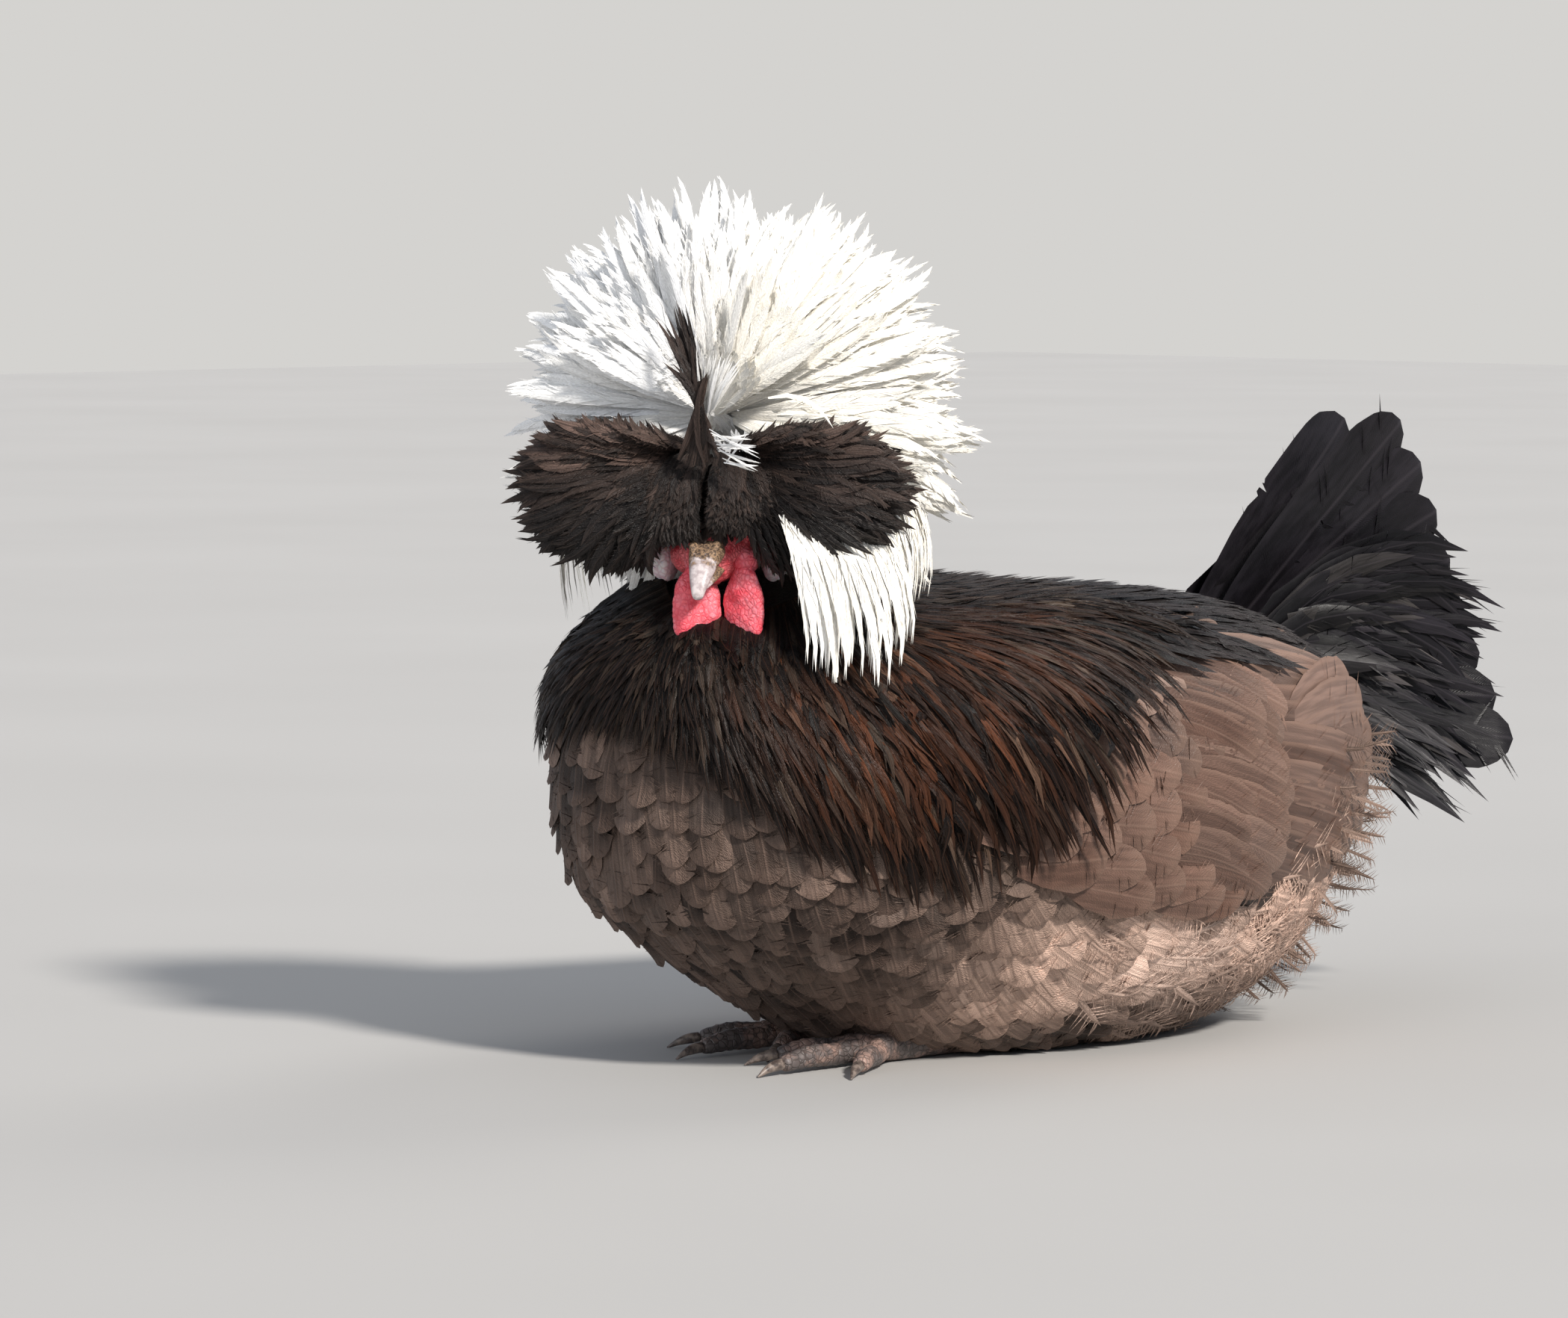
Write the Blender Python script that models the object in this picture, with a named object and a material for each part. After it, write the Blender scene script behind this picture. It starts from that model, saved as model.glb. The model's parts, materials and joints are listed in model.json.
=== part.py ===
"""A white-crested Polish cock, sitting: a still, life-size model in separate solids.

Metres, +Z up. The origin is on the floor, at the middle of the flat that the belly rests on.
-Y is the way the breast points and +X is the bird's left. The head is turned to its left.
Angles are in degrees. Every feather is a vane: a thin, tapered wedge with a ridge along its middle.
"""

import math
import random

import bmesh
import bpy
from mathutils import Vector
from mathutils.bvhtree import BVHTree

# The gap that touching pieces keep, and what a cutter is grown by to leave it.
GAP = 0.0003
CUT = 0.00045

# The body: an egg shape, flattened where the belly meets the floor.
BREAST_Y = -0.120
RUMP_Y = 0.128
WIDEST_Y = -0.015
BODY_HALF_WIDTH = 0.079
BODY_MID_Z = 0.080
BODY_UP = 0.048
BODY_DOWN = 0.086
BREAST_RISE = 0.010
RUMP_RISE = 0.002
BLUNT_FRONT = 2.3
BLUNT_REAR = 3.2
SECTION_SQUARE = 2.2
BODY_CORE = Vector((0.0, -0.015, 0.085))
# Below this height the breast draws in to a line across the belly, by up to this share of the way.
TUCK_HEIGHT = 0.050
TUCK_SHARE = 0.35
TUCK_LINE_Y = 0.020
TUCK_FADE = (-0.30, 0.35)

# The head: its middle, how far it is turned to the left and how far it is bowed.
HEAD_MIDDLE = Vector((0.016, -0.100, 0.151))
HEAD_TURN = 35
HEAD_BOW = 17
EYE_RADIUS = 0.0042
EYE_PLACE = (0.0055, 0.0098, 0.0035)
BEAK_ROOT = 0.0130
BEAK_LENGTH = 0.0190
BEAK_DROOP = 0.0055
WATTLE_SPLAY = 62
WATTLE_SWING = 0.0026

# The crest: a dome of white feathers round the skull's knob, parted at the front.
CREST_BACK = 0.021
CREST_RISE = 0.030
CREST_REACH = {"front": 0.048, "back": 0.062, "side": 0.067, "up": 0.067, "down": 0.062}
CREST_CORE = 0.50
CREST_ROWS = ((20, 4), (43, 7), (66, 10), (89, 12), (112, 11), (136, 8), (160, 4))
# Long feathers that hang from the crest on the neck, by their turn from the way the head looks.
CREST_HANGING = (66, 92, 118, 148, 178, -66, -92, -118, -148)
CREST_FEATHER = (0.0175, 0.0205)
CREST_SWEEP = 44
CREST_DROOP = 0.010
CREST_POLE_RISE = 0.12

# The dark puffs over the eyes: two fans of feathers that part over the beak.
PUFF_SIDE = 0.0285
PUFF_FORWARD = 0.012
PUFF_RISE = 0.0115
PUFF_REACH = (0.020, 0.0285, 0.0225)
PUFF_ROOT = (0.0110, 0.0054, 0.0215)
PUFF_CORE = (0.0085, 0.0120, 0.0100)
PUFF_INNER_TIP = (0.0215, 0.0068, -0.0045)
# Fans, front to back: (how far forward of the puff's middle the tips end, how far out, turns of the tips).
PUFF_FANS = (
    (0.003, 1.0, (78, 44, 12, -20, -52, -86)),
    (-0.009, 0.94, (60, 22, -18, -60)),
    (-0.017, 0.80, (30, -20)),
)
PUFF_FEATHER = 0.0160
PUFF_COVER = (0.0290, 0.0330, 0.0275)

# The neck, from a ring behind the jaw to the fringe of the hackles.
NECK_RING = Vector((0.011, -0.086, 0.139))
NECK_RADIUS = 0.024
NECK_RING_TILT = {"front": 0.010, "back": 0.020}
FRINGE_LIFT = 0.0026
NECK_CORE_SHARE = 0.70
CAPE_COVER = 0.0046
# Round the body from the front to its left: (bearing, height of the fringe seen from the body's middle).
FRINGE = (
    (-180, 50), (-140, 34), (-108, 14), (-80, -4), (-50, -4), (-22, 3), (8, 3),
    (35, -13), (58, -21), (78, -14), (92, 2), (108, 15), (140, 34), (180, 50),
)
# Rows of hackles: (where the tips end, how many, how long as a share of the line, how wide).
HACKLE_ROWS = (
    (0.46, 8, 0.33, 0.0165), (0.65, 10, 0.33, 0.0190), (0.83, 11, 0.34, 0.0215), (1.01, 12, 0.36, 0.0230),
)
HACKLE_SUNK = 0.0022
HACKLE_STAND = 0.0022

# The folded wing: its outline seen from the side as (length, height), and what carries it.
WING_FRONT_Y = -0.058
WING_REAR_Y = 0.110
WING_HALF_WIDTH = 0.0825
WING_CLOSING = 2.4
WING_THICK = 0.0026
WING_COVER = 0.0040
WING_MID_Z = 0.078
WING_UP = 0.060
WING_DOWN = 0.082
WING_TOP = ((-0.058, 0.097), (-0.03, 0.115), (0.01, 0.119), (0.05, 0.111), (0.085, 0.098), (0.110, 0.084))
WING_BOTTOM = ((-0.058, 0.072), (-0.03, 0.054), (0.01, 0.046), (0.05, 0.046), (0.085, 0.056), (0.110, 0.072))
WING_SHARES = {"coverts": (0.0, 0.50), "flights": (0.512, 1.0)}
SECONDARIES = 8
PRIMARIES = 3

# The saddle: long narrow feathers from the back, over the wings' upper edges and the tail's root.
SADDLE_ROWS = ((0.71, 5, 46), (0.79, 5, 50), (0.87, 5, 54), (0.94, 4, 48))
SADDLE_FEATHER = 0.145

# The tail: where it grows, how far its halves lean out and how its feathers fan.
TAIL_ROOT = Vector((0.0, 0.104, 0.103))
TAIL_LEAN = (-16, 6)
TAIL_BED_LEAN = 2
SICKLE_FLARE = 0.029
TAIL_LENGTH = 0.108
TAIL_FAN = (-18, 42)
TAIL_FLARE = 0.024
RECTRICES = 6
RECTRIX_STEP = 0.00145
TAIL_COVERTS = 5

# The legs, folded under the belly, with the toes in front of it.
FOOT_X = {1: 0.021, -1: -0.019}
FOOT_Y = {1: -0.040, -1: -0.031}
SHANK_RADIUS = 0.0044
TOE_LENGTHS = {"inner": 0.032, "middle": 0.042, "outer": 0.033}
TOE_TURNS = {"inner": -28, "middle": 2, "outer": 32}
TOE_END = 0.0022
CLAW_LENGTH = 0.0075
CLAW_ROOT = 0.0016

# Neighbouring faces that differ by no more than this are joined: the widest angle that works is used.
FLAT_ANGLES = (3.0, 2.0, 1.2, 0.6, 0.2)

# Paint of each kind of piece: colour and roughness.
PAINTS = {
    "white_plume": ((0.86, 0.82, 0.72), 0.75),
    "dark_plume": ((0.045, 0.032, 0.026), 0.6),
    "brown_plume": ((0.16, 0.09, 0.062), 0.75),
    "red_skin": ((0.72, 0.05, 0.06), 0.5),
    "lobe_skin": ((0.72, 0.62, 0.66), 0.5),
    "horn": ((0.30, 0.27, 0.24), 0.4),
    "eye": ((0.35, 0.10, 0.02), 0.15),
    "leg_skin": ((0.22, 0.20, 0.19), 0.6),
}
RISE = Vector((0, 0, 1))


def clear_scene():
    for obj in list(bpy.data.objects):
        bpy.data.objects.remove(obj)


def material(name):
    found = bpy.data.materials.get(name)
    if found:
        return found
    colour, roughness = PAINTS[name]
    made = bpy.data.materials.new(name)
    made.use_nodes = True
    shader = made.node_tree.nodes["Principled BSDF"]
    shader.inputs["Base Color"].default_value = (*colour, 1.0)
    shader.inputs["Roughness"].default_value = roughness
    shader.inputs["Metallic"].default_value = 0.0
    return made


def sine(degrees):
    return math.sin(math.radians(degrees))


def cosine(degrees):
    return math.cos(math.radians(degrees))


def power(value, exponent):
    return math.copysign(abs(value) ** exponent, value)


def smooth(edge_a, edge_b, value):
    """0 before edge_a, 1 after edge_b, and a smooth step between them."""
    share = min(1.0, max(0.0, (value - edge_a) / (edge_b - edge_a)))
    return share * share * (3 - 2 * share)


def curve_through(rows, value):
    """A smooth line through rows of (position, value), read at a position."""
    xs = [row[0] for row in rows]
    ys = [row[1] for row in rows]
    value = min(max(value, xs[0]), xs[-1])
    k = max(i for i in range(len(xs) - 1) if xs[i] <= value)
    span = xs[k + 1] - xs[k]
    share = (value - xs[k]) / span

    def slope(i):
        a, b = max(0, i - 1), min(len(xs) - 1, i + 1)
        return (ys[b] - ys[a]) / (xs[b] - xs[a])

    h00 = (1 + 2 * share) * (1 - share) ** 2
    h10 = share * (1 - share) ** 2
    h01 = share * share * (3 - 2 * share)
    h11 = share * share * (share - 1)
    return h00 * ys[k] + h10 * span * slope(k) + h01 * ys[k + 1] + h11 * span * slope(k + 1)


def bezier(line, t):
    a, b, c, d = line
    s = 1 - t
    return a * s**3 + b * 3 * s * s * t + c * 3 * s * t * t + d * t**3


def solid(name, points, faces, paint="brown_plume"):
    """A closed mesh object from points and faces, with its faces turned outwards."""
    mesh = bpy.data.meshes.new(name)
    mesh.from_pydata([tuple(map(float, p)) for p in points], [], [tuple(f) for f in faces])
    obj = bpy.data.objects.new(name, mesh)
    bpy.context.scene.collection.objects.link(obj)
    mesh.materials.append(material(paint))
    work = bmesh.new()
    work.from_mesh(mesh)
    bmesh.ops.recalc_face_normals(work, faces=work.faces)
    if work.calc_volume(signed=True) < 0:
        bmesh.ops.reverse_faces(work, faces=work.faces)
    work.to_mesh(mesh)
    work.free()
    return obj


def loft(name, rings, first, last, paint="brown_plume"):
    """A closed skin over rings of equal count, from a point before the first to a point after the last."""
    count = len(rings[0])
    points = [first, *[p for ring in rings for p in ring], last]
    faces = []
    for i in range(count):
        j = (i + 1) % count
        faces.append((0, 1 + j, 1 + i))
        for k in range(len(rings) - 1):
            a, b = 1 + k * count, 1 + (k + 1) * count
            faces.append((a + i, a + j, b + j))
            faces.append((a + i, b + j, b + i))
        end = 1 + (len(rings) - 1) * count
        faces.append((end + i, end + j, len(points) - 1))
    return solid(name, points, faces, paint)


def vane(path, widths, thick, paint="brown_plume", tilt=0.0):
    """One feather along a path of (place, way out), ending in a point. The ridge stands out by thick.

    With tilt the blade turns about its own length, so that one edge lies above the next feather.
    """
    rings = []
    for i, (place, out) in enumerate(path[:-1]):
        ahead = (path[i + 1][0] - path[max(i - 1, 0)][0]).normalized()
        across = ahead.cross(out).normalized()
        up = across.cross(ahead).normalized()
        lean = across * math.cos(tilt) + up * math.sin(tilt)
        half = widths[i] * 0.5
        rings.append([place - lean * half, place + up * thick, place + lean * half])
    count = len(rings)
    points = [p for ring in rings for p in ring] + [path[-1][0] + path[-1][1] * thick * 0.3]
    faces = [(0, 1, 2)]
    for k in range(count - 1):
        a, b = 3 * k, 3 * k + 3
        for i in range(3):
            j = (i + 1) % 3
            faces.append((a + i, a + j, b + j))
            faces.append((a + i, b + j, b + i))
    end = 3 * (count - 1)
    for i in range(3):
        faces.append((end + i, end + (i + 1) % 3, len(points) - 1))
    return solid("vane", points, faces, paint)


def keep_largest(obj):
    """Leaves only the largest closed surface of a mesh."""
    work = bmesh.new()
    work.from_mesh(obj.data)
    bmesh.ops.triangulate(work, faces=work.faces)
    seen, islands = set(), []
    for start in work.verts:
        if start in seen:
            continue
        seen.add(start)
        island, queue = [], [start]
        while queue:
            vert = queue.pop()
            island.append(vert)
            for edge in vert.link_edges:
                other = edge.other_vert(vert)
                if other not in seen:
                    seen.add(other)
                    queue.append(other)
        islands.append(island)

    def volume(island):
        faces = {face for vert in island for face in vert.link_faces}
        total = 0.0
        for face in faces:
            a, b, c = (vert.co for vert in face.verts)
            total += a.dot(b.cross(c)) / 6.0
        return total

    islands.sort(key=volume, reverse=True)
    for island in islands[1:]:
        bmesh.ops.delete(work, geom=island, context="VERTS")
    work.to_mesh(obj.data)
    work.free()


def bake(obj):
    """Puts what an object's modifiers make into its own mesh."""
    graph = bpy.context.evaluated_depsgraph_get()
    made = bpy.data.meshes.new_from_object(obj.evaluated_get(graph))
    obj.modifiers.clear()
    old, obj.data = obj.data, made
    bpy.data.meshes.remove(old)


def faults(work):
    """How many edges of a mesh are open and how many pairs of its triangles pass through each other."""
    found = sum(1 for edge in work.edges if not edge.is_manifold)
    work.faces.ensure_lookup_table()
    tree = BVHTree.FromBMesh(work)
    for a, b in tree.overlap(tree):
        if a < b and not set(work.faces[a].verts) & set(work.faces[b].verts):
            found += 1
    return found


def flatten(obj):
    """Joins neighbouring faces that nearly lie in one plane, where that brings no fault."""
    before = bmesh.new()
    before.from_mesh(obj.data)
    allowed = faults(before)
    before.free()
    for angle in FLAT_ANGLES:
        work = bmesh.new()
        work.from_mesh(obj.data)
        bmesh.ops.dissolve_limit(work, angle_limit=math.radians(angle), verts=work.verts, edges=work.edges)
        bmesh.ops.triangulate(work, faces=work.faces)
        sound = faults(work) <= allowed
        if sound:
            work.to_mesh(obj.data)
        work.free()
        if sound:
            return


def gathered(pieces):
    """Moves pieces into a collection of their own."""
    group = bpy.data.collections.new("pieces")
    bpy.context.scene.collection.children.link(group)
    for piece in pieces:
        bpy.context.scene.collection.objects.unlink(piece)
        group.objects.link(piece)
    return group


def combine(base, pieces, operation):
    """Fuses pieces into base, or cuts them from it, and removes them."""
    if not pieces:
        return base
    group = gathered(pieces)
    step = base.modifiers.new("combine", "BOOLEAN")
    step.operation = operation
    step.operand_type = "COLLECTION"
    step.collection = group
    step.solver = "MANIFOLD"
    bake(base)
    for piece in list(pieces):
        bpy.data.objects.remove(piece)
    bpy.data.collections.remove(group)
    keep_largest(base)
    flatten(base)
    return base


def fuse(base, pieces):
    return combine(base, pieces, "UNION")


def carve(obj, cutters):
    return combine(obj, cutters, "DIFFERENCE")


def swollen(obj, amount=CUT):
    """A copy of a closed mesh, grown outwards, to cut its neighbours clear of it."""
    work = bmesh.new()
    work.from_mesh(obj.data)
    work.normal_update()
    moves = [(vert, vert.normal * amount) for vert in work.verts]
    for vert, move in moves:
        vert.co += move
    mesh = bpy.data.meshes.new("cutter")
    work.to_mesh(mesh)
    work.free()
    cutter = bpy.data.objects.new("cutter", mesh)
    bpy.context.scene.collection.objects.link(cutter)
    return cutter


def ball(name, centre, radii, axes=None, rings=9, around=14, paint="red_skin"):
    """An ellipsoid with its own axes."""
    a, b, c = axes or (Vector((1, 0, 0)), Vector((0, 1, 0)), RISE)
    made = []
    for k in range(1, rings + 1):
        lat = math.pi * k / (rings + 1)
        made.append([
            centre
            + a * radii[0] * math.sin(lat) * math.cos(2 * math.pi * i / around)
            + b * radii[1] * math.sin(lat) * math.sin(2 * math.pi * i / around)
            + c * radii[2] * math.cos(lat)
            for i in range(around)
        ])
    return loft(name, made, centre + c * radii[2], centre - c * radii[2], paint)


def tube(name, path, radii, around=10, paint="leg_skin", floor=0.0):
    """A rounded rod along a path, with a radius at each point, flattened where it would pass the floor."""
    rings = []
    for i, point in enumerate(path):
        ahead = (path[min(i + 1, len(path) - 1)] - path[max(i - 1, 0)]).normalized()
        out = ahead.cross(RISE).normalized()
        rise = out.cross(ahead).normalized()
        ring = []
        for k in range(around):
            turn = 2 * math.pi * k / around
            ring.append(point + (out * math.cos(turn) + rise * math.sin(turn)) * radii[i])
        rings.append([Vector((p.x, p.y, max(p.z, floor))) for p in ring])
    begin = path[0] - (path[1] - path[0]).normalized() * radii[0] * 0.6
    end = path[-1] + (path[-1] - path[-2]).normalized() * radii[-1] * 0.6
    begin.z, end.z = max(begin.z, floor), max(end.z, floor)
    return loft(name, rings, begin, end, paint)


def hoop(name, centre, axis, radius, wire, around=8, sides=4, paint="red_skin"):
    """A round rim of wire thickness about an axis."""
    first = axis.cross(RISE).normalized()
    second = axis.cross(first).normalized()
    points, faces = [], []
    for k in range(around):
        turn = 2 * math.pi * k / around
        way = first * math.cos(turn) + second * math.sin(turn)
        for i in range(sides):
            roll = 2 * math.pi * i / sides
            points.append(centre + way * (radius + wire * math.cos(roll)) + axis * wire * math.sin(roll))
    for k in range(around):
        for i in range(sides):
            a, b = k * sides, (k + 1) % around * sides
            j = (i + 1) % sides
            faces.append((a + i, a + j, b + j))
            faces.append((a + i, b + j, b + i))
    return solid(name, points, faces, paint)


# The body.

def torso_size(t):
    """How full the body's section is at t: -1 at the breast, 0 where it is widest, 1 at the rump."""
    blunt = BLUNT_FRONT if t < 0 else BLUNT_REAR
    return max(0.0, 1 - min(1.0, abs(t)) ** blunt) ** (1 / blunt)


def torso_middle(t):
    return BODY_MID_Z + (BREAST_RISE if t < 0 else RUMP_RISE) * t * t


def torso_tuck(t, z):
    """How far the lower breast is drawn in at t and a height z, as a share."""
    low = max(0.0, 1 - max(0.0, z) / TUCK_HEIGHT)
    return TUCK_SHARE * low ** 1.3 * (1 - smooth(*TUCK_FADE, t))


def torso_point(s, phi, grow=0.0):
    """s runs from the breast, 0, to the rump, 1. phi is 0 on the back and 90 on the left side."""
    t = -math.cos(math.pi * s)
    reach = (WIDEST_Y - BREAST_Y if t < 0 else RUMP_Y - WIDEST_Y) + grow
    size = torso_size(t)
    side, rise = power(sine(phi), 2 / SECTION_SQUARE), power(cosine(phi), 2 / SECTION_SQUARE)
    tall = BODY_UP if rise > 0 else BODY_DOWN
    z = max(-grow, torso_middle(t) + rise * (tall + grow) * size)
    y = WIDEST_Y + reach * t
    drawn = torso_tuck(t, z)
    return Vector(((BODY_HALF_WIDTH + grow) * size * side * (1 - drawn), y + (TUCK_LINE_Y - y) * drawn, z))


def torso_out(s, phi):
    """The way out of the body's surface."""
    step = 0.004
    along = torso_point(s + step, phi) - torso_point(s - step, phi)
    round_it = torso_point(s, phi + 1) - torso_point(s, phi - 1)
    out = along.cross(round_it).normalized()
    return out if out.dot(torso_point(s, phi) - BODY_CORE) > 0 else -out


def torso_reach(y, z):
    """Half the torso's width at a length y and a height z."""
    t = (y - WIDEST_Y) / (WIDEST_Y - BREAST_Y if y < WIDEST_Y else RUMP_Y - WIDEST_Y)
    size = torso_size(t)
    if size < 0.05:
        return 0.0
    rise = (z - torso_middle(t)) / size
    share = min(1.0, abs(rise) / (BODY_UP if rise > 0 else BODY_DOWN))
    wide = BODY_HALF_WIDTH * size * (1 - share ** SECTION_SQUARE) ** (1 / SECTION_SQUARE)
    return wide * (1 - torso_tuck(t, z))


def torso_solid(name, grow=0.0, rings=12, around=20):
    turns = [360 * i / around for i in range(around)]
    made = [[torso_point(k / (rings + 1), turn, grow) for turn in turns] for k in range(1, rings + 1)]
    return loft(name, made, torso_point(0, 0, grow), torso_point(1, 0, grow))


# The wings.

def wing_reach(y, z):
    """How far out the wing's surface is at a length y and a height z, on the torso and past it."""
    wide = WING_HALF_WIDTH - WING_CLOSING * max(0.0, y - 0.01) ** 2 - WING_CLOSING * min(0.0, y + 0.02) ** 2
    tall = WING_UP if z > WING_MID_Z else WING_DOWN
    share = min(0.98, abs(z - WING_MID_Z) / tall)
    own = wide * (1 - share ** 2.2) ** (1 / 2.2)
    body = torso_reach(y, z)
    return 0.5 * (own + body) + math.sqrt(0.25 * (own - body) ** 2 + 0.000001)


def wing_place(y, z, lift, side):
    return Vector((side * (wing_reach(y, z) + lift), y, z))


def wing_out(y, z, side):
    """The way out of the wing's carrying surface."""
    step = 0.002
    back = wing_place(y + step, z, 0, side) - wing_place(y - step, z, 0, side)
    rise = wing_place(y, z + step, 0, side) - wing_place(y, z - step, 0, side)
    out = back.cross(rise).normalized()
    return out if out.x * side > 0 else -out


def wing_plate(name, side, first, last, grow=0.0, sunk=0.010, cover=0.0):
    """A plate of the wing from share first to last of its length, thin at the edges.

    The cover is how far feathers stand over it behind the shoulder: cutters are made with it.
    """
    rows, columns = 4, 4
    long = WING_REAR_Y - WING_FRONT_Y
    rings = []
    for k in range(rows + 1):
        p = first - grow / long + (last - first + 2 * grow / long) * k / rows
        y = WING_FRONT_Y + p * long
        over = grow + cover * smooth(0.04, 0.30, p)
        low, high = curve_through(WING_BOTTOM, y) - over, curve_through(WING_TOP, y) + over
        fullness = 0.45 + 0.55 * math.sin(math.pi * min(1.0, max(0.0, 0.08 + 0.84 * p))) ** 0.5
        outer, inner = [], []
        for i in range(columns + 1):
            z = low + (high - low) * i / columns
            lift = WING_THICK * fullness * (0.35 + 0.65 * math.sin(math.pi * i / columns)) + over
            outer.append(wing_place(y, z, lift, side))
            inner.append(wing_place(y, z, -sunk, side))
        rings.append(outer + inner[::-1])
    begin = sum(rings[0], Vector()) / len(rings[0])
    end = sum(rings[-1], Vector()) / len(rings[-1])
    return loft(name, rings, begin, end)


def wing_vane(side, root, tip, width, lifts, bow=0.0, thick=0.0011, tilt=0.0):
    """A round-ended feather of the wing. Root and tip are (length, height); bow raises its middle."""
    path = []
    for t in (0.0, 0.35, 0.7, 0.92, 1.0):
        y = root[0] + (tip[0] - root[0]) * t
        z = root[1] + (tip[1] - root[1]) * t + bow * 4 * t * (1 - t)
        lift = lifts[0] + (lifts[1] - lifts[0]) * smooth(0.0, 0.4, t) + (lifts[2] - lifts[1]) * t * t
        path.append((wing_place(y, z, lift, side), wing_out(y, z, side)))
    widths = [width * w for w in (0.7, 1.0, 1.0, 0.72)]
    return vane(path, widths, thick, tilt=tilt * side)


def secondary_feathers(side):
    """The folded secondaries, the upper over the lower, with their tips round the wing's rear edge."""
    made = []
    for i in range(SECONDARIES):
        t = i / (SECONDARIES - 1)
        turn = 78 - 160 * t
        tip = (0.078 + 0.045 * max(0.0, cosine(turn)) ** 0.7, 0.0740 + 0.0275 * sine(turn))
        root = (0.0310 + 0.004 * sine(turn), 0.082 + 0.025 * (1 - 2 * t))
        end = 0.0050 - 0.0022 * t
        bow = 0.003 * (1 - 2 * t)
        made.append(wing_vane(side, root, tip, 0.0130, (-0.0008, 0.0026, end), bow, tilt=0.10))
    return made


def primary_feathers(side):
    """The primaries' ends, tucked in below the secondaries."""
    made = []
    for i in range(PRIMARIES):
        t = i / (PRIMARIES - 1)
        tip = (0.096 + 0.010 * t, 0.0490 + 0.006 * t)
        root = (0.036 - 0.003 * t, 0.0500 + 0.005 * t)
        lifts = (-0.0010, 0.0010, 0.0010 + 0.0003 * t)
        made.append(wing_vane(side, root, tip, 0.0095, lifts, -0.004, tilt=0.10))
    return made


def covert_feathers(side):
    """The shoulder's feathers in rows, small at the front, and the long row over the flights' roots."""
    made = []
    rows = (
        (-0.004, 0.026, 4, 0.0165, 0.0024, 0.0040), (0.016, 0.028, 4, 0.0165, 0.0028, 0.0046),
        (0.032, 0.034, 5, 0.0145, 0.0036, 0.0054),
    )
    for start, long, count, width, rest, end in rows:
        low, high = curve_through(WING_BOTTOM, start) + 0.008, curve_through(WING_TOP, start) - 0.004
        for i in range(count):
            t = i / (count - 1)
            z = low + (high - low) * t
            root = (start - long * 0.60 + 0.004 * math.sin(math.pi * t), z)
            tip = (start + long * 0.62 + 0.004 * math.sin(math.pi * t), z + 0.004 * (0.35 - t))
            made.append(wing_vane(side, root, tip, width, (-0.001, rest, end), 0.001, tilt=0.06))
    return made


# The head.

def head_frame():
    """The head's own axes: forward, left and up."""
    level = Vector((sine(HEAD_TURN), -cosine(HEAD_TURN), 0.0))
    forward = level * cosine(HEAD_BOW) - RISE * sine(HEAD_BOW)
    left = Vector((cosine(HEAD_TURN), sine(HEAD_TURN), 0.0))
    return forward, left, forward.cross(left)


FORWARD, LEFT, UP = head_frame()
LEVEL_FORWARD = Vector((sine(HEAD_TURN), -cosine(HEAD_TURN), 0.0))


def on_head(f, l, u):
    return HEAD_MIDDLE + FORWARD * f + LEFT * l + UP * u


def build_head():
    """The face, the lids and the domed crown under the crest."""
    stations = (
        (-0.0125, 0.006, 0.007, 0.002), (-0.0105, 0.0095, 0.0105, 0.002), (-0.005, 0.0125, 0.0135, 0.0015),
        (0.001, 0.0125, 0.0140, 0.001), (0.007, 0.0105, 0.0125, 0.0), (0.0115, 0.0080, 0.0098, -0.001),
        (0.0145, 0.0064, 0.0080, -0.002), (0.0160, 0.0045, 0.0060, -0.0025),
    )
    around = 12
    rings = []
    for f, wide, tall, lift in stations:
        rings.append([
            on_head(f, wide * sine(360 * i / around), lift + tall * cosine(360 * i / around))
            for i in range(around)
        ])
    head = loft("head", rings, on_head(-0.0135, 0, 0.002), on_head(0.0162, 0, -0.0025), "red_skin")
    pieces = [ball("knob", on_head(-0.002, 0, 0.0085), (0.0115, 0.0110, 0.0120), (FORWARD, LEFT, UP), 4, 8)]
    for side in (1, -1):
        f, l, u = EYE_PLACE
        out = (LEFT * side + FORWARD * 0.35 + UP * 0.1).normalized()
        rim = on_head(f, l * side, u) + out * EYE_RADIUS * 0.62
        pieces.append(hoop("lids", rim, out, EYE_RADIUS * 0.84, 0.0009))
        horn = on_head(0.0125, 0.0026 * side, 0.0078)
        pieces.append(ball("comb", horn, (0.0030, 0.0018, 0.0034), (FORWARD, LEFT, UP), 4, 6))
    return fuse(head, pieces)


def beak_part(name, stations, around=10):
    """A horn of the beak: stations are (forward, half width, top, bottom) before it bends down."""
    rings = []
    for f, wide, top, bottom in stations:
        fall = BEAK_DROOP * ((f - BEAK_ROOT) / BEAK_LENGTH) ** 2
        middle, tall = (top + bottom) / 2, (top - bottom) / 2
        rings.append([
            on_head(
                f, wide * power(sine(360 * i / around), 0.9),
                middle - fall + tall * power(cosine(360 * i / around), 0.9),
            )
            for i in range(around)
        ])
    first = sum(rings[0], Vector()) / around
    last = sum(rings[-1], Vector()) / around + FORWARD * 0.0005 - UP * 0.0004
    return loft(name, rings, first, last, "horn")


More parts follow.
